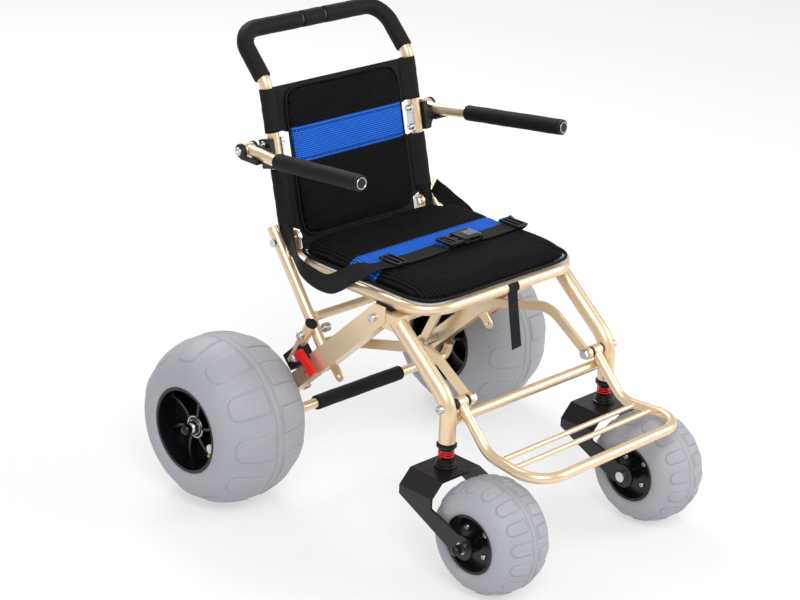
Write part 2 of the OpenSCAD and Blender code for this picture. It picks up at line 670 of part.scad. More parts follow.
// Rubber rests on the corner blocks, hollowed for the seat tubes
rest_w = 18;
rest_l = 40;
module rest_pads() color(black) both() difference() {
    translate(pt(channel_x_in, block_front - 28, block_top_z))
        cube([rest_w, rest_l, seat_z - 4 - block_top_z]);
    translate(pt(seat_x, block_front, seat_z)) rotate([-90, 0, 0])
        cylinder(r = seat_tube_r + seat_gap, h = block_front);
}

// Sling stretched over the seat loop
module seat_sling() color("#c9cacc") {
    w = seat_x - 3;
    r = 40;
    translate(pt(0, seat_front, sling_z)) linear_extrude(sling_thick) {
        translate([-w, r]) square([2 * w, seat_front - seat_rear - 2 * r]);
        translate([-w + r, 0]) square([2 * w - 2 * r, seat_front - seat_rear]);
        for (x = [-w + r, w - r], y = [r, seat_front - seat_rear - r]) translate([x, y])
            circle(r = r);
    }
}

module seat_pad() color(black)
    translate(pt(0, (pad_front + pad_rear) / 2, pad_z))
        stuffed_pad(pad_half_w, (pad_front - pad_rear) / 2, pad_thick, 0.015, 8, [-0.28, 0.16]);

// Webbing strap that loops over the seat's front bar and hangs down
strap_x = 14;
strap_w = 26;
module fold_strap() color(black) {
    u = seat_front;
    r = seat_tube_r + 1.6;
    hang = [for (k = [1:3]) pt(strap_x + 3 * k, u + r * sin(160) + 3 + 4 * k, seat_z - r - 36 * k)];
    path = concat([for (t = [35:21:140]) pt(strap_x, u + r * sin(t), seat_z + r * cos(t))], hang);
    ribbon(path, [for (p = path) [1, 0, 0]], strap_w, 2);
}

// Lap belt: two webs from the back hinge, over the pad's edges to the buckle
belt_w = 38;
belt_thick = 2;
belt_top = pad_z + pad_thick + 2;
belt_u = pad_rear + 226;
belt_tube_x = -(seat_x + seat_tube_r + belt_thick / 2 + seat_gap + 0.4);
belt_right = [[belt_tube_x + 16.2, hinge_u + 23, hinge_z + 16],
    [belt_tube_x + 8.7, hinge_u + 43, hinge_z + 2], [belt_tube_x - 2.8, hinge_u + 75, hinge_z - 19.5],
    [belt_tube_x - 0.8, hinge_u + 113, hinge_z - 35], [belt_tube_x, hinge_u + 153, hinge_z - 36],
    [belt_tube_x - 2.3, belt_u - 64, pad_z - 6], [-pad_half_w - 12, belt_u - 33, pad_z + 16.9],
    [-pad_half_w + 14, belt_u - 8, belt_top], [-pad_half_w + 52, belt_u + 1, belt_top + 2],
    [-90, belt_u + 3, belt_top + 2], [-24, belt_u, belt_top + 2]];
belt_sides = [[0, 0, -1], [0, 0, -1], [0.2, 0, -1], [0, 0, -1], [0, 0, -1], [-0.1, 0.1, -1],
    [-0.5, 0.3, -0.8], [-0.25, 1, 0.06], [-0.2, 1, 0], [0, 1, 0], [0, 1, 0]];
function flip(p) = [-p.x, p.y, p.z];
module lap_belt() color(black) {
    right = [for (p = belt_right) at(p)];
    sides = [for (s = belt_sides) [s.x, -s.y, s.z]];
    ribbon(right, sides, belt_w, belt_thick);
    left = [for (p = belt_right) at(flip(p)) + [p.x > -30 ? 2 * buckle_x : 0, 0, 0]];
    ribbon([for (i = [len(left) - 1:-1:0]) left[i]],
        [for (i = [len(left) - 1:-1:0]) flip(sides[i])], belt_w, belt_thick);
}

// Side-release buckle and two slide adjusters on the belt
buckle_x = 22;
module belt_buckles() color(black) {
    translate(pt(buckle_x, belt_u, belt_top + 6)) difference() {
        translate([-44, -24, -2.6]) cube([88, 48, 12]);
        for (y = [-18, 10]) translate([-14, y, -4]) cube([28, 8, 16]);
    }
    for (x = [60 - pad_half_w, pad_half_w - 32])
        translate(pt(x, belt_u - 8, belt_top + 3.6)) difference() {
            translate([-15, -26, 0]) cube([30, 52, 5]);
            translate([-10, -20, -1]) cube([7, 40, 8]);
            translate([3, -20, -1]) cube([7, 40, 8]);
        }
}

module hinge_bolts() color(silver) both() {
    head_x = post_x + post_r;
    nut_x = hinge_plate_x - seat_gap;
    lateral(bolt_r, nut_x - nut_h, head_x + head_h, hinge_u, hinge_z);
    lateral(bolt_r + head_over, head_x + seat_gap, head_x + head_h, hinge_u, hinge_z);
    lateral(bolt_r + head_over, nut_x - nut_h, nut_x, hinge_u, hinge_z);
}

// Back frame: two posts and the push handle in one bent tube
function back_at(x, v) = [x, hinge_u - v * sin(recline), hinge_z + v * cos(recline)];
handle_bends = [32, 45, 45, 32];
handle_top = [back_x, -handle_behind, handle_z];
handle_foot = back_at(back_x, post_rise);
handle_path = [at(back_at(back_x, -post_below)), at(handle_foot), at(handle_top),
    at(flip(handle_top)), at(flip(handle_foot)), at(flip(back_at(back_x, -post_below)))];
module back_frame() color(champagne) difference() {
    swept(handle_path, handle_bends, back_tube_r);
    both() {
        lateral(bolt_r + fit, back_x - back_tube_d, back_x + back_tube_d, hinge_u, hinge_z);
        clamp_bolt_bores(fit);
    }
}

// Foam on the handle: two bent sleeves and a short middle sleeve, with a bare ring on each side of it
foam_from = 10;
foam_ring_x = 28;
foam_ring_gap = 4;
module handle_foam() color(black) {
    both() difference() {
        half_handle(foam_from, foam_ring_x + foam_ring_gap, foam_r);
        half_handle(foam_from - 1, foam_ring_x + foam_ring_gap - 1, back_tube_r + seat_gap);
    }
    difference() {
        lateral(foam_r, -foam_ring_x, foam_ring_x, -handle_behind, handle_z);
        lateral(back_tube_r + seat_gap, -foam_ring_x - 1, foam_ring_x + 1, -handle_behind, handle_z);
    }
}

module half_handle(from, end_x, r) {
    rise = unit(handle_top - handle_foot);
    swept([at(handle_foot + rise * from), at(handle_top), pt(end_x, -handle_behind, handle_z)],
        [handle_bends[1]], r);
}

// Fabric of the back: a sheet between the posts that wraps each post in two sleeves
module back_sling() color(black) on_back() {
    sleeve_r = back_tube_r + seat_gap + sleeve_wall;
    difference() {
        union() {
            both() for (v = [lower_sleeve, upper_sleeve]) translate([back_x, 0, v[0]])
                cylinder(r = sleeve_r, h = v[1] - v[0]);
            translate([-back_x, -sling_front, lower_sleeve[0]])
                cube([2 * back_x, sleeve_wall, upper_sleeve[1] - lower_sleeve[0]]);
        }
        both() {
            translate([back_x, 0, lower_sleeve[0] - 1])
                cylinder(r = back_tube_r + seat_gap, h = upper_sleeve[1] - lower_sleeve[0] + 2);
            translate([back_pad_half_w - 4, -20, lower_sleeve[1]])
                cube([80, 40, upper_sleeve[0] - lower_sleeve[1]]);
            translate([hinge_plate_x - nut_h - 6, -20, lower_sleeve[0] - 1])
                cube([nut_h + hinge_plate + 7, 40, 19 - lower_sleeve[0]]);
            translate([back_x + back_tube_r - 1, -20, lower_sleeve[0] - 1])
                cube([10, 40, 36 - lower_sleeve[0]]);
            translate([hinge_plate_x, 0, 0]) rotate([0, 90, 0]) cylinder(r = bolt_r + 1, h = 60);
        }
    }
}

module back_pad() color(black) on_back()
    translate([0, -sling_front - seat_gap, (back_pad_from + back_pad_to) / 2]) rotate([90, 0, 0])
        stuffed_pad(back_pad_half_w, (back_pad_to - back_pad_from) / 2, back_pad_thick, 0.01, 6,
            [-0.28, 0.16]);

// Arm bracket: a block bolted to the post, a hollowed gusset, and a clevis with a low outer wall
ear_in = arm_pivot.x - arm_r - ear_gap - ear_thick;
ear_out = arm_pivot.x + arm_r + ear_gap;
clevis_end = ear_out + ear_thick;
arm_dip = recline + atan2(arm_pivot.z - arm_knee.z, arm_knee.y - arm_pivot.y);
arm_clear = 1.2;
clamp_x = back_x + back_tube_r + seat_gap;
clamp_thick = 12;
clamp_end = clamp_x + clamp_thick;
clevis_reach = 47;
gusset_w = [-4, 14];
gusset_top = pivot_v - 14;
module arm_bracket() color(black) difference() {
    on_back() {
        translate([clamp_x, -15, clamp_v]) cube([clamp_thick, 30, clamp_h]);
        translate([0, -gusset_w[0], 0]) rotate([90, 0, 0]) linear_extrude(gusset_w[1] - gusset_w[0]) gusset();
        translate([0, -pivot_w, pivot_v]) rotate([arm_dip, 0, 0]) {
            for (x = [ear_in, ear_out]) translate([x, 0, 0]) rotate([0, 90, 0])
                cylinder(r = ear_r, h = ear_thick);
            translate([ear_in, -0.7 * clevis_reach, -ear_r - 2])
                cube([ear_thick, 0.7 * clevis_reach, ear_r + 11]);
            translate([ear_out, -clevis_reach, -ear_r - 2]) cube([ear_thick, clevis_reach, ear_r - 5]);
            translate([ear_in, -clevis_reach, -ear_r - 2])
                cube([clevis_end - ear_in, clevis_reach - ear_r - 2, ear_r + 2 - arm_r - arm_clear]);
        }
    }
    swept([at(arm_pivot), at(arm_pivot + [0, 2 * clevis_reach, 0])], [], arm_r + arm_clear);
    lateral(bolt_r + fit, ear_in - 3.3, clevis_end + 1, arm_pivot.y, arm_pivot.z);
    clamp_bolt_bores(fit);
}

// Front view of the gusset: from the block out under the arm tube, with a hollow lower edge
module gusset() {
    root = clamp_end + 4;
    hollow = [arm_pivot.x + 6 - root, gusset_top - 6 - clamp_v];
    polygon(concat([[clamp_end - 2, gusset_top + 12], [clamp_end - 2, clamp_v + 1]],
        [for (t = [0:15:90]) [root + hollow.x * (1 - cos(t)), clamp_v + 1 + hollow.y * sin(t)]],
        [[ear_out + 2, gusset_top - 5], [ear_out + 2, gusset_top], [ear_in + 2, gusset_top],
            [ear_in + 2, gusset_top + 12]]));
}

module clamp_bolt_bores(gap) on_back() for (v = clamp_rise)
    translate([clamp_plate_x - 1, 0, v]) rotate([0, 90, 0])
        cylinder(r = clamp_bolt_r + gap, h = (v > pivot_v ? clamp_end + 2 : clamp_end - 3) - clamp_plate_x);

module arm_bracket_left() arm_bracket();
module arm_bracket_right() right_side() arm_bracket();

clamp_plate = 3;
clamp_plate_x = back_x - back_tube_r - seat_gap - clamp_plate;
module clamp_plates() color("#e6e7e8") both() difference() {
    on_back() translate([clamp_plate_x, -9, clamp_v + 3]) cube([clamp_plate, 18, clamp_h - 4]);
    clamp_bolt_bores(fit);
}

clamp_bolt_r = 3.5;
clamp_head_r = 6;
module clamp_bolts() color(silver) both() on_back() {
    in_x = clamp_plate_x - seat_gap - 4.7;
    out_x = clamp_end + seat_gap;
    for (v = clamp_rise) translate([in_x, 0, v]) rotate([0, 90, 0]) {
        cylinder(r = clamp_bolt_r, h = (v > pivot_v ? out_x + 4 : clamp_end - 4.5) - in_x);
        cylinder(r = clamp_head_r, h = 4.7);
    }
    translate([out_x, 0, clamp_rise[1]]) rotate([0, 90, 0]) cylinder(r = clamp_head_r, h = 3.5);
}

module arm_pivot_bolts() color(silver) both() {
    lateral(bolt_r, ear_in - 3, clevis_end + head_h, arm_pivot.y, arm_pivot.z);
    lateral(bolt_r + head_over, clevis_end + seat_gap, clevis_end + head_h, arm_pivot.y, arm_pivot.z);
}

// Arm tube: pivots in its bracket, bends outwards, then runs forward under the foam
arm_run = unit(arm_tip - arm_elbow);
module arm_tube() color(champagne) difference() {
    union() {
        swept([at(arm_pivot), at(arm_knee), at(arm_elbow), at(arm_tip)], [60, 80], arm_r);
        lateral(arm_eye_r, arm_pivot.x - arm_r - eye_over, arm_pivot.x + arm_r + eye_over,
            arm_pivot.y, arm_pivot.z);
    }
    lateral(bolt_r + fit, arm_pivot.x - arm_d, arm_pivot.x + arm_d, arm_pivot.y, arm_pivot.z);
}

module arm_tube_left() arm_tube();
module arm_tube_right() right_side() arm_tube();

module arm_foam() color(black) difference() {
    swept([at(arm_elbow + arm_run * arm_foam_gap), at(arm_tip)], [], arm_r + foam_wall);
    swept([at(arm_elbow + arm_run * (arm_foam_gap - 1)), at(arm_tip + arm_run)], [], arm_r + seat_gap);
}

module arm_foam_left() arm_foam();
module arm_foam_right() right_side() arm_foam();

module arm_plug() color(black) {
    swept([at(arm_tip + arm_run * fit), at(arm_tip + arm_run * 2)], [], arm_r + foam_wall - 1);
    swept([at(arm_tip + arm_run), at(arm_tip + arm_run * 4)], [], arm_r);
}

module arm_plug_left() arm_plug();
module arm_plug_right() right_side() arm_plug();

// Footrest: one bent loop with pivot eyes and two thin rungs
foot_flare = 20;
foot_knee_u = leg_bolt_u + (leg_bolt_z - foot_z) / tan(foot_slope);
foot_corner = [foot_x + foot_flare, foot_front, foot_z];
rung_places = [0.2, 0.46];
module footrest() color(champagne) difference() {
    union() {
        knee = [foot_x, foot_knee_u, foot_z];
        eye = [foot_x, leg_bolt_u, leg_bolt_z];
        swept([at(eye), at(knee), at(foot_corner), at(flip(foot_corner)), at(flip(knee)), at(flip(eye))],
            [50, 55, 55, 50], foot_r);
        both() lateral(foot_eye_r, foot_x - foot_eye_half, foot_x + foot_eye_half, leg_bolt_u, leg_bolt_z);
        for (t = rung_places) {
            p = mix(knee, foot_corner, t);
            lateral(rung_d / 2, -p.x, p.x, p.y, p.z);
        }
    }
    both() lateral(bolt_r + fit, foot_x - foot_d, foot_x + foot_d, leg_bolt_u, leg_bolt_z);
}

module caster_collars() color(black) both() translate(pt(leg_x, stem_ahead, collar_z)) difference() {
    union() {
        cylinder(r = collar_r - 3, h = collar_h - seat_gap);
        translate([0, 0, 3]) cylinder(r = collar_r, h = 5);
    }
    translate([0, 0, -1]) cylinder(r = stem_r + seat_gap, h = collar_h + 2);
}

// Caster stem with its stepped rubber boot on the crown and a nut under it
module stem() color(black) translate(pt(leg_x, stem_ahead, 0)) {
    translate([0, 0, crown_z - fork_plate - 10])
        cylinder(r = stem_r, h = stem_top_z - crown_z + fork_plate + 10);
    translate([0, 0, crown_z - fork_plate - seat_gap - 9]) cylinder(r = stem_r + 5, h = 9);
    translate([0, 0, crown_z + seat_gap]) rotate_extrude() polygon([[0, 0], [21, 0], [21, 4], [18, 5], [18, 9],
        [16.5, 10], [16.5, boot_h - 2 * seat_gap], [0, boot_h - 2 * seat_gap]]);
}

module stem_left() stem();
module stem_right() right_side() stem();

// Red coil spring round the stem, one unbroken wire
spring_r = 13.5;
wire_r = spring_wire_d / 2;
function coil_at(t) = let (a = 360 * spring_turns * t)
    [spring_r * cos(a), spring_r * sin(a), mix(spring_low_z + wire_r, collar_z - wire_r, t)];
coil_rings = 8 * spring_turns;
coil_path = [for (i = [0:coil_rings]) coil_at(i / coil_rings)];
coil_gap = min([for (i = [0:coil_rings]) for (j = [i + 5:1:coil_rings])
    norm(coil_path[j] - coil_path[i])]) - spring_wire_d;
module spring() color(latch_red) translate(pt(leg_x, stem_ahead, 0)) {
    n = len(coil_path);
    ring = [for (i = [0:n - 1])
        let (d = unit(coil_path[min(i + 1, n - 1)] - coil_path[max(i - 1, 0)]),
            s = unit(cross(d, [0, 0, 1])), up = cross(s, d))
        for (k = [0:5]) coil_path[i] + wire_r * (cos(60 * k) * s + sin(60 * k) * up)];
    walls = [for (i = [0:n - 2]) for (k = [0:5])
        let (a = 6 * i + k, b = 6 * i + (k + 1) % 6) each [[a, b, b + 6], [a, b + 6, a + 6]]];
    caps = [for (k = [1:4]) each [[0, k + 1, k], [6 * n - 6, 6 * n - 6 + k, 6 * n - 5 + k]]];
    polyhedron(ring, concat(walls, caps));
}

module spring_left() spring();
module spring_right() right_side() spring();

// Folded-plate fork: flat crown, sloping shoulders and two legs that reach forward to the axle
crown_half = 50;
crown_rear = 40;
crown_depth = crown_rear + caster_trail - 82;
fork_leg_w = 46;
module fork() color(black) difference() {
    union() {
        shoulder = fork_in + fork_plate - crown_half;
        translate(pt(leg_x, stem_ahead + crown_depth - crown_rear, 0)) rotate([-90, 0, 0])
            linear_extrude(crown_depth) for (k = [-1, 1])
                polygon([[0, -crown_z], [k * crown_half, -crown_z],
                    [k * (fork_in + fork_plate), -crown_z + shoulder],
                    [k * fork_in, -crown_z + shoulder + fork_plate * 0.4],
                    [k * (crown_half - fork_plate * 0.4), -crown_z + fork_plate], [0, -crown_z + fork_plate]]);
        leg_top_z = crown_z - shoulder;
        for (k = [-1, 1]) {
            translate(pt(leg_x + (k > 0 ? fork_in : -fork_in - fork_plate), 0, 0))
                rotate([90, 0, 90]) linear_extrude(fork_plate) polygon([
                    [-stem_ahead + crown_rear, leg_top_z],
                    [-stem_ahead + crown_rear, leg_top_z - 18],
                    [-caster_ahead + fork_leg_w * 0.42, caster_tyre_r - fork_leg_w * 0.42],
                    [-caster_ahead - fork_leg_w * 0.36, caster_tyre_r + fork_leg_w * 0.30],
                    [-stem_ahead + crown_rear - crown_depth, leg_top_z - 20],
                    [-stem_ahead + crown_rear - crown_depth, leg_top_z]]);
            lateral(fork_leg_w / 2, leg_x + (k > 0 ? fork_in : -fork_in - fork_plate),
                leg_x + (k > 0 ? fork_in + fork_plate : -fork_in), caster_ahead, caster_tyre_r);
        }
    }
    translate(pt(leg_x, stem_ahead, crown_z - fork_plate - 1)) cylinder(r = stem_r + fit, h = fork_plate + 2);
    lateral(caster_axle_r + fit, leg_x - fork_in - fork_plate - 1, leg_x + fork_in + fork_plate + 1,
        caster_ahead, caster_tyre_r);
}

module fork_left() fork();
module fork_right() right_side() fork();

// Caster axle bolt: hexagon head on the inside, long domed cap on the outside
module caster_axle() color(silver) translate(pt(leg_x, caster_ahead, caster_tyre_r)) rotate([0, 90, 0]) {
    out = fork_in + fork_plate + seat_gap;
    translate([0, 0, -out - 6]) cylinder(r = caster_axle_r, h = 2 * out + 12);
    translate([0, 0, -out - 8]) cylinder(r = 10, h = 8);
    translate([0, 0, out]) cylinder(r = 11, h = 3);
    translate([0, 0, out + 3]) cylinder(r = 9, h = 12);
    translate([0, 0, out + 15]) rotate_extrude() intersection() {
        circle(r = 9);
        square(9);
    }
}

module caster_axle_left() caster_axle();
module caster_axle_right() right_side() caster_axle();

// A dished hub: barrel with lips, recessed faces, a long boss and a running bore
module dished_hub(r, half_w, face_w, boss_r, boss_w, bore_r, barrel) rotate([0, 90, 0]) rotate_extrude($fn = 72)
    polygon([[bore_r, -boss_w], [boss_r, -boss_w], [boss_r + 2, -face_w], [r - barrel - 4, -face_w],
        [r - barrel, -half_w], [r, -half_w], [r, half_w], [r - barrel, half_w], [r - barrel - 4, face_w],
        [boss_r + 2, face_w], [boss_r, boss_w], [bore_r, boss_w]]);

module caster_hub() color(black) translate(pt(leg_x, caster_ahead, caster_tyre_r))
    dished_hub(caster_hub_r, caster_tyre_w / 2 - hub_lip, caster_tyre_w / 2 - 24, 15, fork_in - 1,
        caster_axle_r + fit, 5);

module caster_hub_left() caster_hub();
module caster_hub_right() right_side() caster_hub();

module caster_tyre() color(tyre_grey) translate(pt(leg_x, caster_ahead, caster_tyre_r))
    balloon_tyre(caster_tyre_r, caster_tyre_w, caster_widest_r, caster_hub_r + 0.2,
        caster_tyre_w / 2 - bead_inset);

module caster_tyre_left() caster_tyre();
module caster_tyre_right() right_side() caster_tyre();

// Rear hub: dished barrel with six swept ribs on each face
rib_thick = 6;
rib_sweep_r = 62;
module rear_hub() color(black) translate(pt(rear_x, 0, axle_z)) {
    face = rear_tyre_w / 2 - 48;
    dished_hub(rear_hub_r, rear_tyre_w / 2 - hub_lip, face, 24, rear_hub_face, axle_r + fit, 6);
    both() for (k = [0:5]) rotate([60 * k, 0, 0]) intersection() {
        translate([0, rib_sweep_r * 0.8, rib_sweep_r * 0.75]) rotate([0, 90, 0]) difference() {
            translate([0, 0, face - 1]) cylinder(r = rib_sweep_r + rib_thick / 2, h = 20);
            translate([0, 0, face - 2]) cylinder(r = rib_sweep_r - rib_thick / 2, h = 22);
        }
        translate([face - 1, -rear_hub_r, 0]) cube([22, 2 * rear_hub_r, rear_hub_r]);
        rotate([0, 90, 0]) cylinder(r = rear_hub_r - 7, h = rear_tyre_w);
        rotate([0, 90, 0]) difference() {
            cylinder(r = rear_hub_r, h = rear_tyre_w);
            translate([0, 0, -1]) cylinder(r = 23, h = rear_tyre_w + 2);
        }
    }
}

module rear_hub_left() rear_hub();
module rear_hub_right() right_side() rear_hub();

module rear_tyre() color(tyre_grey) translate(pt(rear_x, 0, axle_z))
    balloon_tyre(rear_tyre_r, rear_tyre_w, rear_widest_r, rear_hub_r + 0.2, rear_tyre_w / 2 - bead_inset);

module rear_tyre_left() rear_tyre();
module rear_tyre_right() right_side() rear_tyre();

echo(str("least gap between the spring's turns: ", coil_gap, " mm"));

front_frame();
side_beam_right();
side_beam_left();
rear_axle();
lower_bar();
lower_bar_foam();
stub_tubes();
stub_caps();
latch_brackets();
latch_right();
latch_left();
stop_bolts();
brace_right();
brace_left();
brace_spacers();
leg_bolts();
leg_bushes();
beam_bolts();
rear_posts();
seat_frame();
rest_pads();
seat_sling();
seat_pad();
fold_strap();
lap_belt();
belt_buckles();
hinge_bolts();
back_frame();
handle_foam();
back_sling();
back_pad();
arm_bracket_right();
arm_bracket_left();
clamp_plates();
clamp_bolts();
arm_pivot_bolts();
arm_tube_right();
arm_tube_left();
arm_foam_right();
arm_foam_left();
arm_plug_right();
arm_plug_left();
footrest();
caster_collars();
stem_right();
stem_left();
spring_right();
spring_left();
fork_right();
fork_left();
caster_axle_right();
caster_axle_left();
caster_hub_right();
caster_hub_left();
caster_tyre_right();
caster_tyre_left();
rear_hub_right();
rear_hub_left();
rear_tyre_right();
rear_tyre_left();
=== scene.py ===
"""Beach wheelchair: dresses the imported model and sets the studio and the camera."""
import bpy
import bmesh
import json
import math
import numpy as np
from mathutils import Matrix, Vector


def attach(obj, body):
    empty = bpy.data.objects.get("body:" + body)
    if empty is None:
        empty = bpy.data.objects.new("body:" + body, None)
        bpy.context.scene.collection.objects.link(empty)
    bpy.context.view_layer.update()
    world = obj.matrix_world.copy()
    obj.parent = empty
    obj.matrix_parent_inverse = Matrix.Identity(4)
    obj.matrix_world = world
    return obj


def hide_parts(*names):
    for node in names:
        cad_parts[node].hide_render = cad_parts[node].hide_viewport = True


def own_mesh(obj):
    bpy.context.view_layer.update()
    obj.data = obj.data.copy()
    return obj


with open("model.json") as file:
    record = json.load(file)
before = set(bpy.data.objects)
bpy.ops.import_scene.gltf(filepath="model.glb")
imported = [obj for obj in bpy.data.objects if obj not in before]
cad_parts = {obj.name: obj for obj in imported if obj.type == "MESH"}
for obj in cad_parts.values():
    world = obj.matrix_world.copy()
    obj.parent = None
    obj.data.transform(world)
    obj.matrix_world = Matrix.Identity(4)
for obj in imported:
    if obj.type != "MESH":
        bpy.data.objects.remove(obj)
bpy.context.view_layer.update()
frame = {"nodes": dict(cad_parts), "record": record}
nodes = frame["nodes"]
scene = bpy.context.scene

# Shared sizes and places in mm: x to the sitter's left, u ahead of the rear axle, z above the floor
MM = 0.001
SIDES = (("left", 1), ("right", -1))
AXLE_Y = 262.986
REAR_WHEEL, CASTER_WHEEL = (346, 0, 165), (222, 594, 109)
RECLINE = math.radians(14.2)
HINGE = np.array([0.0, AXLE_Y + 3.0, 493.0])
POST_X = 189
ARM_ELBOW, ARM_TIP = (255, 28, 672.5), (272, 272.5, 700)
PAD_Z, PAD_THICK = 481.6, 28.0
PAD_U0, PAD_U1 = 23.0, 396.0
PAD_MID = (PAD_U0 + PAD_U1) / 2
BACK_THICK, BACK_V0, BACK_V1 = 16.0, -8.0, 288.0
BACK_MID = (BACK_V0 + BACK_V1) / 2
BELT_TOP = PAD_Z + PAD_THICK + 2
# Blue band of each pad, from the seat pad's rear edge and from the back's hinge
SEAT_BAND, BACK_BAND = (150, 226), (140, 209)


def at(x, u, z):
    """A point from its side distance, its distance ahead of the rear axle and its height, in mm."""
    return np.array([x, AXLE_Y - u, z], float)


def beside(place, sx):
    """A place on the left side, or its mirror image on the right where sx is -1."""
    x, u, z = place
    return at(x * sx, u, z)


def on_back(p):
    """A point of the back's own frame (side, forward, up along the posts) in the row frame, in mm."""
    x, w, v = p
    c, s = math.cos(RECLINE), math.sin(RECLINE)
    return np.array([x, HINGE[1] - w * c + v * s, HINGE[2] + w * s + v * c])


def back_at(x, v):
    """A point in the plane of the back posts."""
    return on_back((x, 0.0, v))


def unit(v):
    return v / np.linalg.norm(v)


# Camera: fitted to the wheels, seat, arms and footrest
IMAGE_W, FOCAL_PIXELS, SENSOR_W = 800, 2186.4, 36.0
CAMERA_ANGLES = (-45.796, 22.021, 2.732)
CAMERA_PLACE = (-2.8548, -2.8974 + AXLE_Y * MM, 1.9688)


def set_camera():
    """The camera from its turn, tilt and roll in degrees and its place in metres."""
    turn, tilt, roll = (math.radians(d) for d in CAMERA_ANGLES)
    back = Vector((math.sin(turn) * math.cos(tilt), -math.cos(turn) * math.cos(tilt), math.sin(tilt)))
    right = Vector((math.cos(turn), math.sin(turn), 0))
    up = back.cross(right)
    c, s = math.cos(roll), math.sin(roll)
    axes = (c * right + s * up, -s * right + c * up, back)
    data = bpy.data.cameras.new("camera")
    data.sensor_width = SENSOR_W
    data.lens = FOCAL_PIXELS / IMAGE_W * SENSOR_W
    data.clip_end = 60
    cam = bpy.data.objects.new("camera", data)
    placed = Matrix(axes).transposed().to_4x4()
    placed.translation = CAMERA_PLACE
    cam.matrix_world = placed
    scene.collection.objects.link(cam)
    scene.camera = cam


set_camera()


# Materials
class Nodes:
    """A small helper round one material's node tree."""

    def __init__(self, name):
        self.mat = bpy.data.materials.new(name)
        self.mat.use_nodes = True
        self.tree = self.mat.node_tree
        self.shader = self.tree.nodes["Principled BSDF"]

    def add(self, kind, inputs=None, **props):
        n = self.tree.nodes.new(kind)
        for k, v in props.items():
            setattr(n, k, v)
        for k, v in (inputs or {}).items():
            self.put(n.inputs[k], v)
        return n

    def put(self, socket, value):
        if isinstance(value, bpy.types.NodeSocket):
            self.tree.links.new(value, socket)
        else:
            socket.default_value = value

    def math(self, op, a, b=0.0):
        n = self.add("ShaderNodeMath", operation=op)
        self.put(n.inputs[0], a)
        self.put(n.inputs[1], b)
        return n.outputs[0]

    def wave(self, value, period):
        return self.math("SINE", self.math("MULTIPLY", value, 2 * math.pi / period))

    def mix(self, factor, a, b, blend="MIX"):
        n = self.add("ShaderNodeMix", data_type="RGBA", blend_type=blend)
        self.put(n.inputs[0], factor)
        self.put(n.inputs[6], a)
        self.put(n.inputs[7], b)
        return n.outputs[2]

    def noise(self, scale, detail=3.0, rough=0.5, vector=None):
        n = self.add("ShaderNodeTexNoise", {"Scale": scale, "Detail": detail, "Roughness": rough})
        self.put(n.inputs["Vector"], vector if vector is not None else self.coords())
        return n.outputs["Fac"]

    def coords(self):
        return self.add("ShaderNodeTexCoord").outputs["Object"]

    def uv(self):
        n = self.add("ShaderNodeUVMap", uv_map="fab")
        s = self.add("ShaderNodeSeparateXYZ")
        self.put(s.inputs[0], n.outputs[0])
        return s.outputs[0], s.outputs[1]

    def range(self, value, low, high, to_low=0.0, to_high=1.0):
        n = self.add("ShaderNodeMapRange")
        for i, v in enumerate((value, low, high, to_low, to_high)):
            self.put(n.inputs[i], v)
        return n.outputs[0]

    def bump(self, height, strength, distance, edge=0.0):
        n = self.add("ShaderNodeBump", {"Strength": strength, "Distance": distance})
        self.put(n.inputs["Height"], height)
        if edge:
            b = self.add("ShaderNodeBevel", {"Radius": edge}, samples=4)
            self.put(n.inputs["Normal"], b.outputs[0])
        self.put(self.shader.inputs["Normal"], n.outputs[0])

    def set(self, **values):
        for k, v in values.items():
            self.put(self.shader.inputs[k.replace("_", " ")], v)


def rgb(r, g, b):
    return (r, g, b, 1.0)


def shade(color, k):
    return rgb(*(min(1.0, c * k) for c in color[:3]))


def worn(name, color, rough, metallic=0.0, grain=900.0, spread=0.2, bump=0.05, depth=0.0002, edge=0.0,
         **more):
    """A hard material: soft colour blotches, fine grain in gloss, a fine bump and, if asked, broken edges."""
    n = Nodes(name)
    blotch = n.noise(14.0, 4.0, 0.6)
    fine = n.noise(grain, 2.0)
    dull = n.range(n.math("ADD", blotch, fine), 0.4, 1.6, max(0.03, rough - 0.08), rough + 0.1)
    n.set(Base_Color=n.mix(blotch, shade(color, 1 - spread), shade(color, 1 + spread)), Metallic=metallic,
          Roughness=dull, **more)
    n.bump(fine, bump, depth, edge)
    return n.mat


frame_paint = worn("frame_paint", rgb(0.86, 0.665, 0.44), 0.32, 0.7, grain=2600, spread=0.05, bump=0.04,
                   depth=0.0001, edge=0.0008, Coat_Weight=0.25, Coat_Roughness=0.12)
black_plastic = worn("black_plastic", rgb(0.009, 0.009, 0.010), 0.40, grain=1500, bump=0.10, edge=0.0007,
                     Specular_IOR_Level=0.35)
hub_plastic = worn("hub_plastic", rgb(0.004, 0.004, 0.005), 0.26, grain=700, spread=0.25, edge=0.0014,
                   Specular_IOR_Level=0.4)
black_metal = worn("black_metal", rgb(0.006, 0.006, 0.007), 0.30, grain=1800, bump=0.12, edge=0.0012,
                   Coat_Weight=0.2, Coat_Roughness=0.25, Specular_IOR_Level=0.35)
red_paint = worn("red_paint", rgb(0.74, 0.010, 0.008), 0.34, spread=0.10, edge=0.0008,
                 Coat_Weight=0.1, Coat_Roughness=0.1, Specular_IOR_Level=0.35)
white_plastic = worn("white_plastic", rgb(0.72, 0.72, 0.71), 0.4, spread=0.05)
mid_grey = worn("mid_grey", rgb(0.16, 0.16, 0.165), 0.3, spread=0.1, edge=0.0007)
yellow_plastic = worn("yellow_plastic", rgb(0.75, 0.55, 0.02), 0.4, spread=0.08)
foam_skin = worn("foam_skin", rgb(0.007, 0.007, 0.008), 0.66, grain=1400, bump=0.30, depth=0.0004, spread=0.3,
                 Specular_IOR_Level=0.22)
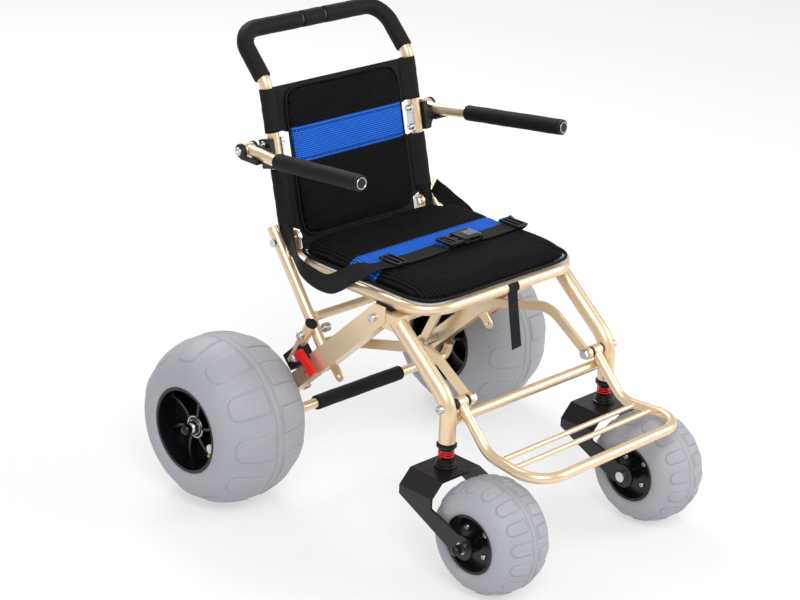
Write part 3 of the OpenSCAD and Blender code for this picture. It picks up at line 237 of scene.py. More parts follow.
rubber = worn("rubber", rgb(0.010, 0.010, 0.011), 0.6, grain=1200, bump=0.2, spread=0.3,
              Specular_IOR_Level=0.25)


def steel_material():
    """Bright steel with fine drawn lines and faint stains."""
    n = Nodes("steel")
    streak = n.add("ShaderNodeMapping", {"Scale": (30.0, 900.0, 900.0)})
    n.put(streak.inputs["Vector"], n.coords())
    lines = n.noise(1.0, 4.0, 0.6, streak.outputs[0])
    stain = n.noise(60.0, 4.0, 0.7)
    n.set(Base_Color=n.mix(stain, rgb(0.56, 0.57, 0.58), rgb(0.76, 0.77, 0.78)), Metallic=1.0,
          Roughness=n.range(lines, 0.3, 0.7, 0.18, 0.36))
    n.bump(lines, 0.05, 0.0001)
    return n.mat


def tyre_material():
    """Grey rubber with a little dust, with painted shade along the tongues' grooves where the mesh's groove
    value says so.
    """
    n = Nodes("tyre_rubber")
    big = n.noise(9.0, 5.0, 0.65)
    fine = n.noise(700.0, 3.0)
    dust = n.noise(60.0, 5.0, 0.7)
    base = n.mix(big, rgb(0.335, 0.340, 0.375), rgb(0.395, 0.40, 0.435))
    skin = n.mix(n.range(dust, 0.55, 0.75, 0.0, 0.25), base, rgb(0.47, 0.47, 0.49))
    # The groove value is painted shade: it mixes the rubber towards dark grey along the tongues' outlines and
    # the middle grooves
    groove = n.add("ShaderNodeAttribute", attribute_name="groove").outputs["Fac"]
    n.set(Base_Color=n.mix(groove, skin, rgb(0.17, 0.17, 0.19)),
          Roughness=n.range(fine, 0.3, 0.7, 0.46, 0.60))
    n.bump(n.math("ADD", fine, n.math("MULTIPLY", dust, 0.4)), 0.12, 0.0004)
    return n.mat


# Pad mesh in metres: cell size and slant, rib and stitch length, and each seam's inset and half width
CELL, CELL_SLANT, RIB_PITCH = 0.0046, 0.58, 0.0062
SEAM_INSET, SEAM_HALF = 0.0065, 0.0013
BLUE = rgb(0.022, 0.135, 0.62)


def mesh_material(name, band, ribs):
    """Spacer mesh: woven cells, ribs along the second map axis if asked, a blue band with two seams, and
    painted shade in the weave's hollows with painted light on its tops.
    """
    n = Nodes(name)
    x, y = n.uv()
    slant = n.math("MULTIPLY", y, CELL_SLANT)
    rising = n.wave(n.math("ADD", x, slant), CELL)
    falling = n.wave(n.math("SUBTRACT", x, slant), CELL)
    weave = n.range(n.math("MULTIPLY", rising, falling), -0.6, 0.9)
    height, tallest = weave, 1.0
    if ribs:
        rib = n.range(n.wave(x, RIB_PITCH), -1.0, 1.0)
        height = n.math("ADD", n.math("MULTIPLY", rib, 1.6), n.math("MULTIPLY", weave, 0.5))
        tallest = 2.1
    lint = n.noise(40.0, 5.0, 0.7)
    dark = n.mix(lint, rgb(0.005, 0.005, 0.006), rgb(0.012, 0.012, 0.013))
    blue = n.mix(lint, shade(BLUE, 0.85), shade(BLUE, 1.1))
    low, high = (edge * MM for edge in band)
    inside = n.math("MULTIPLY", n.math("GREATER_THAN", y, low), n.math("LESS_THAN", y, high))
    color = n.mix(inside, dark, blue)
    stitch = n.math("GREATER_THAN", n.wave(x, RIB_PITCH), -0.35)
    for seam in (low + SEAM_INSET, high - SEAM_INSET):
        near = n.math("LESS_THAN", n.math("ABSOLUTE", n.math("SUBTRACT", y, seam)), SEAM_HALF)
        color = n.mix(n.math("MULTIPLY", near, stitch), color, shade(BLUE, 0.22))
    # Painted shade and light: the colour is multiplied by the bump height, darker in the weave's hollows and
    # lighter on its tops
    painted_weave_shade = n.range(height, 0.0, tallest, 0.2, 1.8)
    grey = n.add("ShaderNodeCombineColor", {0: painted_weave_shade, 1: painted_weave_shade, 2: painted_weave_shade})
    n.set(Base_Color=n.mix(1.0, color, grey.outputs[0], "MULTIPLY"), Specular_IOR_Level=0.04,
          Roughness=n.range(weave, 0.0, 1.0, 0.85, 0.6))
    n.bump(height, 0.7, 0.0009)
    return n.mat


def cloth_material(name, color, thread, rough, strength=0.35, twill=0.0):
    """Plain or twill cloth from two crossing sets of threads, with painted light on the threads' tops, of
    random strength, and painted shade between them.
    """
    n = Nodes(name)
    x, y = n.uv()
    warp = n.wave(n.math("ADD", x, n.math("MULTIPLY", y, twill)), thread)
    weave = n.range(n.math("MULTIPLY", warp, n.wave(y, thread)), -1.0, 1.0)
    big = n.noise(25.0, 5.0, 0.65)
    # Painted light and shade: the colour is lighter on the threads' tops, by an amount that varies at random,
    # and darker between them
    n.set(Base_Color=n.mix(n.math("MULTIPLY", big, weave), shade(color, 0.75), shade(color, 1.6)),
          Roughness=n.range(big, 0.3, 0.7, rough - 0.1, rough + 0.1), Specular_IOR_Level=0.14)
    n.bump(n.math("ADD", weave, n.math("MULTIPLY", big, 0.8)), strength, 0.0004)
    return n.mat


steel = steel_material()
tyre_rubber = tyre_material()
seat_mesh = mesh_material("seat_mesh", SEAT_BAND, ribs=True)
back_mesh = mesh_material("back_mesh", BACK_BAND, ribs=False)
nylon = cloth_material("nylon", rgb(0.010, 0.010, 0.011), thread=0.0011, rough=0.62)
webbing = cloth_material("webbing", rgb(0.012, 0.012, 0.013), thread=0.0022, rough=0.6, strength=0.6,
                         twill=1.0)
sling_cloth = cloth_material("sling_cloth", rgb(0.55, 0.55, 0.57), thread=0.0014, rough=0.7)

FINISHES = {"frame": frame_paint, "foam": foam_skin, "black_plastic": black_plastic,
            "black_metal": black_metal, "red_paint": red_paint, "steel": steel, "sling": sling_cloth,
            "upholstery": nylon, "webbing": webbing, "tyre": tyre_rubber}
slot_of = {s["node"]: s["material_slot"] for s in frame["record"]["subparts"]}
for name, node in nodes.items():
    node.data.materials.clear()
    node.data.materials.append(hub_plastic if "hub" in name else FINISHES[slot_of[name]])


# Mesh building
def mesh_object(name, verts, faces):
    """A plain mesh object from points in mm."""
    me = bpy.data.meshes.new(name)
    me.from_pydata([tuple(c * MM for c in v) for v in verts], [], faces)
    me.update()
    obj = bpy.data.objects.new(name, me)
    scene.collection.objects.link(obj)
    return obj


def piece(name, verts, faces, body, slot, mat, replaces=(), uv=None):
    """A smooth mesh from points in mm that rides on a body."""
    obj = mesh_object(name, verts, faces)
    me = obj.data
    bm = bmesh.new()
    bm.from_mesh(me)
    bmesh.ops.remove_doubles(bm, verts=bm.verts, dist=1e-7)
    bmesh.ops.recalc_face_normals(bm, faces=bm.faces)
    bm.to_mesh(me)
    bm.free()
    me.polygons.foreach_set("use_smooth", [True] * len(me.polygons))
    me.materials.append(mat)
    if uv is not None:
        put_uv(obj, uv)
    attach(obj, body)
    if replaces:
        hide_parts(*replaces)
    return obj


def put_uv(obj, project):
    """Writes the map the cloth materials read: project turns a point in metres into two lengths in metres."""
    me = obj.data
    layer = me.uv_layers.get("fab") or me.uv_layers.new(name="fab")
    co = [project(v.co) for v in me.vertices]
    for loop in me.loops:
        layer.data[loop.index].uv = co[loop.vertex_index]


def flat_uv(c):
    return (c.x, c.y)


def back_uv(c):
    """The map of a piece on the back: across it, and up along its posts."""
    y, z = c.y / MM - HINGE[1], c.z / MM - HINGE[2]
    return (c.x, (y * math.sin(RECLINE) + z * math.cos(RECLINE)) * MM)


def sharp(obj, degrees=35):
    """Keeps edges over the angle sharp on a smooth mesh."""
    me = obj.data
    bm = bmesh.new()
    bm.from_mesh(me)
    limit = math.radians(degrees)
    for e in bm.edges:
        if len(e.link_faces) == 2 and e.calc_face_angle(0.0) > limit:
            e.smooth = False
    bm.to_mesh(me)
    bm.free()


def grid_faces(rows, cols, close_rows=False, close_cols=False):
    out = []
    for i in range(rows if close_rows else rows - 1):
        for j in range(cols if close_cols else cols - 1):
            row, above, right = i * cols, (i + 1) % rows * cols, (j + 1) % cols
            out.append((row + j, row + right, above + right, above + j))
    return out


def ring_faces(rows, cols):
    """Faces of rings of points whose last ring meets the first."""
    return grid_faces(rows, cols, close_rows=True, close_cols=True)


def capped_faces(rows, cols):
    """Faces of rings of points with a cap on the first and the last ring."""
    caps = [tuple(range(cols - 1, -1, -1)), tuple(range((rows - 1) * cols, rows * cols))]
    return grid_faces(rows, cols, close_cols=True) + caps


def two_sided_faces(rows, cols):
    """Faces of two equal grids of points, the second behind the first, joined round their rims."""
    front = grid_faces(rows, cols)
    size = rows * cols
    behind = [tuple(i + size for i in reversed(f)) for f in front]
    rim = [i * cols for i in range(rows - 1)] + [(rows - 1) * cols + j for j in range(cols - 1)]
    rim += [i * cols + cols - 1 for i in range(rows - 1, 0, -1)] + list(range(cols - 1, 0, -1))
    wall = [(a, b, b + size, a + size) for a, b in zip(rim, rim[1:] + rim[:1])]
    return front + behind + wall


def join_parts(parts):
    """One vertex and face list from several."""
    verts, faces = [], []
    for v, f in parts:
        base = len(verts)
        verts.extend(v)
        faces.extend(tuple(i + base for i in face) for face in f)
    return verts, faces


def round_angles(count):
    return [2 * math.pi * k / count for k in range(count)]


def spoke(centre, along, r, a):
    """The point at a radius and an angle about a line that runs across the object."""
    return centre + (along, r * math.cos(a), r * math.sin(a))


def lathe(profile, centre, seg, flip=1):
    """Turns (radius, along) pairs about a line across the object; the profile's ends are capped."""
    verts = [spoke(centre, w * flip, r, t) for r, w in profile for t in round_angles(seg)]
    return verts, capped_faces(len(profile), seg)


def ring_about(outline, origin, along, seg=40):
    """Turns a closed outline of (radius, along) pairs about a line, which makes a ring with a hole."""
    d = unit(along)
    side = unit(np.cross(d, [0, 0, 1]))
    up = np.cross(d, side)
    verts = [origin + d * w + r * (math.cos(t) * side + math.sin(t) * up)
             for r, w in outline for t in round_angles(seg)]
    return verts, ring_faces(len(outline), seg)


def dome(r, along, first, step):
    """The (radius, along) pairs of a round cap, from a first angle in degrees up to its top."""
    return [(r * math.cos(a), along + r * math.sin(a)) for a in np.radians(np.arange(first, 90, step))]


def distances(path):
    """Each point's distance along a path."""
    return np.concatenate([[0], np.cumsum(np.linalg.norm(np.diff(path, axis=0), axis=1))])


def direction(path, i):
    """The path's direction at its point i."""
    return unit(path[min(i + 1, len(path) - 1)] - path[max(i - 1, 0)])


def bent_path(points, bends, step):
    """Points along straight runs joined by arcs, about step apart."""
    pts = [np.array(p, float) for p in points]
    out = [pts[0]]

    def run(to):
        n = max(1, int(np.linalg.norm(to - out[-1]) / step))
        start = out[-1]
        for k in range(1, n + 1):
            out.append(start + (to - start) * k / n)

    for i in range(1, len(pts) - 1):
        a, b = unit(pts[i] - pts[i - 1]), unit(pts[i + 1] - pts[i])
        turn = math.acos(max(-1, min(1, float(a @ b))))
        r = bends[i - 1]
        cut = r * math.tan(turn / 2)
        run(pts[i] - a * cut)
        inward = unit(b - a * (a @ b))
        centre = pts[i] - a * cut + inward * r
        n = max(2, int(r * turn / step))
        for k in range(1, n + 1):
            t = turn * k / n
            out.append(centre - inward * r * math.cos(t) + a * r * math.sin(t))
    run(pts[-1])
    return np.array(out)


def tube_mesh(path, radius, sides):
    """A capped tube along a path; radius is a function of the distance along, the length and the angle."""
    length = distances(path)
    side = None
    verts = []
    for i, p in enumerate(path):
        d = direction(path, i)
        if side is None:
            side = unit(np.cross(d, [0, 0, 1] if abs(d[2]) < 0.9 else [1, 0, 0]))
        side = unit(side - d * (side @ d))
        up = np.cross(d, side)
        for t in round_angles(sides):
            verts.append(p + radius(length[i], length[-1], t) * (math.cos(t) * side + math.sin(t) * up))
    return verts, capped_faces(len(path), sides)


def ends_in(path, round_mm):
    """Adds close points at both ends of a path, so that a rounded end shows."""
    first, last = unit(path[1] - path[0]), unit(path[-1] - path[-2])
    steps = [0, 0.06, 0.2, 0.45, 0.8, 1.3]
    head = [path[0] + first * round_mm * s for s in steps]
    tail = [path[-1] - last * round_mm * s for s in reversed(steps)]
    keep = [p for p in path[1:-1] if np.linalg.norm(p - path[0]) > 1.5 * round_mm
            and np.linalg.norm(p - path[-1]) > 1.5 * round_mm]
    return np.array(head + keep + tail)


# Foam sleeves: rounded ends and a slightly uneven skin
FOAM_LIP, FOAM_INSET, FOAM_STEP, FOAM_SIDES = 3.0, 0.35, 7.0, 32
HANDLE_FOAM_R, HANDLE_BEND = 17, 45
HANDLE_U, HANDLE_Z = -160.03, 868.04
HANDLE_FOAM_START, HANDLE_FOAM_END, MIDDLE_FOAM_HALF = 10, 32, 28
POST_TOP_V = 303
ARM_FOAM_R, ARM_FOAM_START, LOWER_FOAM_R = 16, 8, 15
LOWER_FOAM = (at(-160, 58, 160), at(74, 58, 160))


def foam(name, points, bends, r, body, node):
    path = ends_in(bent_path(points, bends, FOAM_STEP), FOAM_LIP)

    def skin(s, total, t):
        end = min(s, total - s)
        lip = FOAM_LIP - math.sqrt(max(0.0, FOAM_LIP ** 2 - (FOAM_LIP - min(end, FOAM_LIP)) ** 2))
        wave = 0.18 * math.sin(s * 0.06 + 2 * math.sin(t)) + 0.12 * math.sin(s * 0.17 + 3 * t)
        return r - FOAM_INSET - lip + (wave if end > FOAM_LIP + 1 else 0.0)

    piece(name, *tube_mesh(path, skin, FOAM_SIDES), body, "foam", foam_skin, (node,))


def arm_line(sx):
    """Elbow, tip and direction of one arm's foam run."""
    elbow, tip = beside(ARM_ELBOW, sx), beside(ARM_TIP, sx)
    return elbow, tip, unit(tip - elbow)


post_top, handle_corner = back_at(POST_X, POST_TOP_V), at(POST_X, HANDLE_U, HANDLE_Z)
handle = [post_top + unit(handle_corner - post_top) * HANDLE_FOAM_START, handle_corner,
          at(HANDLE_FOAM_END, HANDLE_U, HANDLE_Z)]
for side, sx in SIDES:
    foam("handle_foam_" + side, [p * (sx, 1, 1) for p in handle], [HANDLE_BEND], HANDLE_FOAM_R, "back",
         "handle_foam")
foam("handle_foam_middle", [at(x, HANDLE_U, HANDLE_Z) for x in (-MIDDLE_FOAM_HALF, MIDDLE_FOAM_HALF)], [],
     HANDLE_FOAM_R, "back", "handle_foam")
foam("lower_foam", LOWER_FOAM, [], LOWER_FOAM_R, "chassis", "lower_bar_foam")
for side, sx in SIDES:
    elbow, tip, ahead = arm_line(sx)
    run = [elbow + ahead * ARM_FOAM_START, tip]
    foam("arm_sleeve_" + side, run, [], ARM_FOAM_R, "arm_" + side, "arm_foam_" + side)


# Balloon tyres: moulded tongues with a groove round each, and a groove on both sides of the middle, with
# painted shade along every groove
REAR_TYRE = dict(r_out=165, width=210, r_wide=99, r_bead=85.2, w_bead=98, tongues=11, start=14, end=92)
CASTER_TYRE = dict(r_out=109, width=130, r_wide=67.6, r_bead=56.2, w_bead=58, tongues=16, start=12, end=50)
SKIN_INSET, BEAD_LIP = 0.9, 6.0
TONGUE_RISE, TONGUE_SLOPE, TONGUE_SHARE = 1.4, 1.2, 0.26
# Groove depth in mm, and the strength of the painted shade drawn along each groove
GROOVE_DEPTH, GROOVE_PAINTED_SHADE = 0.8, 0.4
# Groove place and corner radius on a tyre of this radius
TREAD_R, MIDDLE_GROOVE, TONGUE_CORNER = 165.0, 7.0, 15.0


def tyre_section(r_out, width, r_wide, r_bead, w_bead):
    """Half a tyre's section as (radius, side) points, from the middle of the tread to the bead."""
    half = width / 2 - SKIN_INSET
    crown = [(r_wide + (r_out - SKIN_INSET - r_wide) * math.sin(a), half * math.cos(a))
             for a in np.radians(np.arange(90, -0.1, -2.0))]
    wall = [(r_wide - (r_wide - r_bead) * math.sin(a), w_bead + (half - w_bead) * math.cos(a))
            for a in np.radians(np.arange(3, 90.1, 3.0))]
    return np.array(crown + wall)


def tyre(name, centre, body, node, r_out, width, r_wide, r_bead, w_bead, tongues, start, end):
    """A tyre's skin, with tongues that reach from start to end off the middle of the tread."""
    curve = tyre_section(r_out, width, r_wide, r_bead, w_bead)
    arc = distances(curve)
    scale = r_out / TREAD_R
    middle, corner = MIDDLE_GROOVE * scale, TONGUE_CORNER * scale
    period = 2 * math.pi * r_out / tongues
    half = period * TONGUE_SHARE

    # Points lie close together at the grooves and at the tongues' edges
    marks = [0, middle * 0.5] + [middle + d for d in (-1.2, -0.5, 0, 0.5, 1.2)]
    marks += [start + d for d in (-2, -0.6, 0.6, 3)]
    for low, high, count in ((start + 8, end - 22 * scale, 7), (end - 20 * scale, end + 2, 14),
                             (end + 6, arc[-1] - 10, 9), (arc[-1] - 8, arc[-1], 6)):
        marks += list(np.linspace(low, high, count))
    near = np.array([-1.6, -0.7, 0.0, 0.7, 1.4, 2.2, 3.2])
    across = np.sort(np.concatenate([-near - half, np.linspace(-half + 4, half - 4, 9), near + half,
                                     np.linspace(half + 4, period - half - 4, 9)]))
    angles = np.concatenate([(k * period + across) / r_out for k in range(tongues)])

    def on_curve(s):
        return np.array([np.interp(s, arc, curve[:, 0]), np.interp(s, arc, curve[:, 1])])

    # Painted shade along a groove, strongest at its middle and fading within about a millimetre
    def outline(d):
        return GROOVE_PAINTED_SHADE * math.exp(-d ** 2)

    def moulding(a, s, sign):
        """Height of the moulding and the painted shade along its outline at an angle, s from the middle on
        one side.
        """
        stagger = 0.5 * period if sign < 0 else 0.0
        q = (a * r_out + stagger + 0.5 * period) % period - 0.5 * period
        if s < start - 3:
            d = abs(s - middle)
            return -GROOVE_DEPTH * math.exp(-(d / 0.9) ** 2), outline(d)
        dx = max(abs(q) - (half - corner), 0.0)
        dy = max(s - (end - corner), 0.0)
        d = max(math.hypot(dx, dy) - corner if dy > 0 else abs(q) - half, start - s)
        rise = TONGUE_RISE * min(1.0, max(0.0, 0.5 - d / TONGUE_SLOPE))
        groove = GROOVE_DEPTH * math.exp(-((d - TONGUE_SLOPE) / 0.8) ** 2)
        return rise - groove, outline(d - TONGUE_SLOPE)

    section = []
    for s in marks:
        beyond = min(s + 0.5, arc[-1])
        tangent = on_curve(beyond) - on_curve(beyond - 1.0)
        normal = np.array([tangent[1], -tangent[0]]) / np.linalg.norm(tangent)
        section.append((s, on_curve(s), normal if s else np.array([1.0, 0.0])))
    # dark keeps each point's painted groove shade for the tyre material
    verts, dark = [], []
    for sign, (s, ground, normal) in [(1, q) for q in reversed(section)] + [(-1, q) for q in section[1:]]:
        for a in angles:
            height, painted_shade = moulding(a, s, sign)
            dark.append(painted_shade)
            r, w = ground + normal * height
            verts.append(spoke(centre, w * sign, r, a))
    bead_rows = [(w_bead - BEAD_LIP) * k for k in (-1, 0, 1)]
    verts += [spoke(centre, w, r_bead, a) for w in bead_rows for a in angles]
    rows = 2 * len(section) - 1 + len(bead_rows)
    obj = piece(name, verts, ring_faces(rows, len(angles)), body, "tyre", tyre_rubber, (node,))
    groove = obj.data.attributes.new("groove", "FLOAT", "POINT")
    groove.data.foreach_set("value", dark + [0.0] * (len(verts) - len(dark)))


for side, sx in SIDES:
    tyre("rear_tyre_skin_" + side, beside(REAR_WHEEL, sx), "rear_wheel_" + side, "rear_tyre_" + side,
         **REAR_TYRE)
    tyre("caster_tyre_skin_" + side, beside(CASTER_WHEEL, sx), "caster_wheel_" + side, "caster_tyre_" + side,
         **CASTER_TYRE)


# Springs: coils of smooth wire
COIL_R, COIL_SPIN, COIL_TALL, WIRE_R = 13.5, 2 * math.pi * 3.5, 17.0, 1.45
COIL_FOOT = (222, 472, 219.5)
COIL_POINTS, WIRE_SIDES = 141, 10
for side, sx in SIDES:
    foot = beside(COIL_FOOT, sx)
    coil = np.array([foot + (COIL_R * math.cos(COIL_SPIN * k) * sx, COIL_R * math.sin(COIL_SPIN * k),
                             COIL_TALL * k) for k in np.linspace(0, 1, COIL_POINTS)])
    wire = tube_mesh(coil, lambda s, total, t: WIRE_R, WIRE_SIDES)
    obj = piece("coil_" + side, *wire, "chassis", "red_paint", red_paint, ("spring_" + side,))
    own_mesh(obj)


# Padded upholstery: each pad's outline, its hem, the power of its rounded corners and how far it may swell
SEAT_PAD = dict(half_w=209, half_d=184, thick=PAD_THICK, hem=7, corner=7, cap=7.0)
BACK_PAD = dict(half_w=152, half_d=147, thick=BACK_THICK, hem=5, corner=9, cap=5.0)
VOXEL, PAD_LOW, DRAWN_IN, BACK_PAD_GAP = 5.0, 0.15, 0.012, 0.4
CLOTH = dict(use_pressure=True, uniform_pressure_force=4.0, quality=5, tension_stiffness=22.0,
             compression_stiffness=22.0, bending_stiffness=1.2)
SIM_FRAMES = 20


def pad_shell(half_w, half_d, thick, hem, corner, n=44):
    """A closed pad between z 0 and its crown, with rounded corners and drawn-in sides."""
    g = np.sin(np.radians(90) * np.linspace(-1, 1, n))
    verts = []
    for top in (True, False):
        for a in g:
            for b in g:
                m = max(abs(a), abs(b))
                f = 1.0 if m == 0 else m / (abs(a) ** corner + abs(b) ** corner) ** (1 / corner)
                x = half_w * a * f * (1 - DRAWN_IN * math.cos(math.pi / 2 * b))
                y = half_d * b * f * (1 - DRAWN_IN * math.cos(math.pi / 2 * a))
                lift = math.sqrt(max(0.0, (1 - abs(a) ** 6) * (1 - abs(b) ** 6)))
                verts.append((x, y, hem + (thick - hem) * lift if top else 0.0))
    return verts, two_sided_faces(n, n)


def swollen(obj):
    """The points of a mesh after cloth pressure has swelled it, in metres."""
    cloth = obj.modifiers.new("cloth", "CLOTH")
    for key, value in CLOTH.items():
        setattr(cloth.settings, key, value)
    cloth.settings.effector_weights.gravity = 0.0
    cloth.point_cache.frame_start = 1
    cloth.point_cache.frame_end = SIM_FRAMES
    for k in range(1, SIM_FRAMES + 1):
        scene.frame_set(k)
    dg = bpy.context.evaluated_depsgraph_get()
    result = np.array([v.co for v in obj.evaluated_get(dg).data.vertices])
    scene.frame_set(1)
    return result


def stuffed(name, half_w, half_d, thick, hem, corner, cap):
    """A pad swollen by cloth pressure from a slightly slack start; returns local points (mm) and faces."""
    obj = mesh_object(name + "_start", *pad_shell(half_w, half_d, thick - cap * 0.55, hem, corner))
    remesh = obj.modifiers.new("remesh", "REMESH")
    remesh.mode = "VOXEL"
    remesh.voxel_size = VOXEL * MM
    dg = bpy.context.evaluated_depsgraph_get()
    solid = bpy.data.meshes.new_from_object(obj.evaluated_get(dg))
    obj.modifiers.clear()
    obj.data = solid
    start = np.array([v.co for v in solid.vertices])
    move = swollen(obj) - start
    far = np.linalg.norm(move, axis=1, keepdims=True)
    move *= np.minimum(1.0, cap * MM / np.maximum(far, 1e-9))
    pts = (start + move) / MM
    pts[:, 2] = np.clip(pts[:, 2], PAD_LOW, thick)
    polys = [tuple(p.vertices) for p in solid.polygons]
    bpy.data.objects.remove(obj)
    return pts, polys


def seam_pull(pts, lines, depth, width, hem):
    """Draws the top in along sewn lines, given as distances along the second axis."""
    out = pts.copy()
    for y in lines:
        out[:, 2] -= depth * np.exp(-((pts[:, 1] - y) / width) ** 2) * (pts[:, 2] > hem)
    return out


def on_seat_pad(p):
    """A point of the seat pad's own frame (side, forward, up) in the row frame, in mm."""
    return at(p[0], PAD_MID + p[1], PAD_Z + p[2])


def on_back_pad(p):
    """A point of the back pad's own frame (side, up along the posts, forward) in the row frame, in mm."""
    return on_back((p[0], BACK_PAD_GAP + p[2], BACK_MID + p[1]))


pts, polys = stuffed("seat", **SEAT_PAD)
pts = seam_pull(pts, [PAD_U0 + edge - PAD_MID for edge in SEAT_BAND], depth=3.2, width=4.5, hem=8)
seat_pad = piece("seat_cushion", [on_seat_pad(p) for p in pts], polys, "chassis", "upholstery", seat_mesh,
                 ("seat_pad",), uv=lambda c: (c.x, (AXLE_Y * MM - c.y) - PAD_U0 * MM))

pts, polys = stuffed("back", **BACK_PAD)
pts = seam_pull(pts, [edge - BACK_MID for edge in BACK_BAND], depth=2.2, width=4.0, hem=6)
back_pad = piece("back_cushion", [on_back_pad(p) for p in pts], polys, "back", "upholstery", back_mesh,
                 ("back_pad",), uv=back_uv)


# Back sleeves: cloth round the posts, open at the arm brackets
SLEEVE_RUNS = ((-30, 138), (208, 292))
SLEEVE_R, LOW_SLEEVE_R, LOW_SLEEVE_V = 14.6, 13.3, 30
SLEEVE_STEP, SLEEVE_SIDES, CLOTH_THICK = 6, 40, 1.0


def sleeve(sx, v0, v1):
    """Cloth round a post that draws together towards the sheet, with an outer and an inner side."""
    steps = max(6, int((v1 - v0) / SLEEVE_STEP))
    heights = [v0 + (v1 - v0) * i / steps for i in range(steps + 1)]
    out = []
    for v, inset in [(v, 0.0) for v in heights] + [(v, CLOTH_THICK) for v in reversed(heights)]:
        low = v < LOW_SLEEVE_V
        r = (LOW_SLEEVE_R if low else SLEEVE_R) - inset
        for a in round_angles(SLEEVE_SIDES):
            x, w = r * math.cos(a), r * math.sin(a)
            if not low:
                draw = max(0.0, -math.cos(a)) ** 3
                crease = 0.45 * math.sin(0.16 * v + 2.2 * a + 0.9 * math.sin(0.05 * v))
                crease += 0.3 * math.sin(0.37 * v - 3 * a)
                x += crease * math.cos(a) * 0.6 - 0.3 - 12.0 * draw
                w = w * (1 - 0.55 * draw) + crease * math.sin(a) * 0.6
            out.append(on_back((sx * (POST_X + x), w, v)))
    return out, ring_faces(2 * steps + 2, SLEEVE_SIDES)


sleeves = join_parts([sleeve(sx, v0, v1) for _, sx in SIDES for v0, v1 in SLEEVE_RUNS])
back_sleeves = piece("back_sleeves", *sleeves, "back", "upholstery", nylon, ("back_sling",), uv=back_uv)

# Back sling: a stretched sheet between the sleeves, narrower at its foot and at the arm brackets
SLING_LOW, SLING_TALL, SLING_FOOT_TOP = -30, 322, 18
SLING_EDGE, SLING_FOOT_EDGE, SLING_BRACKET_EDGE = 174, 154, 148.5
BRACKET_GAP = (138, 208)
SLING_FRONT, SLING_REAR = -0.4, -2.2
SLING_ROWS, SLING_COLS = 40, 44


def sling_side(forward):
    """Points of one side of the back sheet, with faint creases along the posts."""
    out = []
    for i in range(SLING_ROWS):
        v = SLING_LOW + SLING_TALL * i / (SLING_ROWS - 1)
        edge = SLING_EDGE if v > SLING_FOOT_TOP else SLING_FOOT_EDGE
        if BRACKET_GAP[0] < v < BRACKET_GAP[1]:
            edge = SLING_BRACKET_EDGE
        for j in range(SLING_COLS):
            x = edge * (2 * j / (SLING_COLS - 1) - 1)
            crease = 0.25 * math.sin(v * 0.11 + x * 0.013) * math.exp(-((abs(x) - 168) / 30) ** 2)
            out.append(on_back((x, forward + crease, v)))
    return out


back_sling = piece("back_sling_cloth", sling_side(SLING_FRONT) + sling_side(SLING_REAR),
                   two_sided_faces(SLING_ROWS, SLING_COLS), "back", "upholstery", nylon, ("back_sling",),
                   uv=back_uv)

# Seat sling: the pale sheet under the pad
SHEET_HALF, SHEET_CORNER, SHEET_U0, SHEET_U1 = 208.0, 40.0, 60.0, 391.0
SHEET_LOW, SHEET_SHOULDER, SHEET_TOP = 479.4, 481.2, 481.45


def seat_sheet():
    """Rings of points that run round the sheet's rim and inward on both of its sides."""
    cx, mid = SHEET_HALF - SHEET_CORNER, (SHEET_U0 + SHEET_U1) / 2
    rear, front = SHEET_U0 + SHEET_CORNER, SHEET_U1 - SHEET_CORNER
    ring = []
    for x, u, first in ((cx, front, 0), (-cx, front, 90), (-cx, rear, 180), (cx, rear, 270)):
        for a in np.radians(first + np.arange(0, 91, 9)):
            ring.append((x + SHEET_CORNER * math.cos(a), u + SHEET_CORNER * math.sin(a)))
    inward = (0.995, 0.9, 0.5, 0.1)
    loops = [(1.0, SHEET_LOW), (1.0, SHEET_SHOULDER)] + [(k, SHEET_TOP) for k in inward]
    loops += [(k, SHEET_LOW) for k in reversed(inward)]
    verts = [at(x * k, mid + (u - mid) * k, z) for k, z in loops for x, u in ring]
    return verts, ring_faces(len(loops), len(ring))


seat_sling = piece("seat_sling_cloth", *seat_sheet(), "chassis", "sling", sling_cloth, ("seat_sling",),
                   uv=flat_uv)


# Webbing: a flat oval section with thicker edges, as shares of half the width and half the thickness
STRAP_ACROSS = (-1, -0.97, -0.9, -0.6, 0, 0.6, 0.9, 0.97, 1)
STRAP_RISE = (0.15, 0.8, 1.0, 0.8, 0.8, 0.8, 1.0, 0.8, 0.15)
STRAP_THICK, STRAP_STEPS = 1.9, 8
BELT_WIDTH, FOLD_STRAP_WIDTH = 38, 26


def smooth_path(points):
    """Catmull-Rom points through the given ones."""
    p = [np.array(q, float) for q in points]
    p = [2 * p[0] - p[1]] + p + [2 * p[-1] - p[-2]]
    out = []
    for a, b, c, d in zip(p, p[1:], p[2:], p[3:]):
        for t in np.arange(STRAP_STEPS) / STRAP_STEPS:
            square = (2 * a - 5 * b + 4 * c - d) * t * t
            cube = (3 * b - a - 3 * c + d) * t ** 3
            out.append(0.5 * (2 * b + (c - a) * t + square + cube))
    out.append(p[-2])
    return np.array(out)


def strap(points, sides, width):
    """A woven strap along points, with its width's direction at each; returns points, faces and the map."""
    path, side = smooth_path(points), smooth_path(sides)
    length = distances(path)
    section = list(zip(STRAP_ACROSS, STRAP_RISE))
    section += [(a, -h) for a, h in reversed(section)]
    verts, uvs = [], []
    for i, p in enumerate(path):
        d = direction(path, i)
        s = unit(side[i] - d * (side[i] @ d))
        up = np.cross(d, s)
        for a, h in section:
            verts.append(p + s * (a * width / 2) + up * (h * STRAP_THICK / 2))
            uvs.append((a * width / 2 * MM, length[i] * MM))
    return verts, capped_faces(len(path), len(section)), uvs


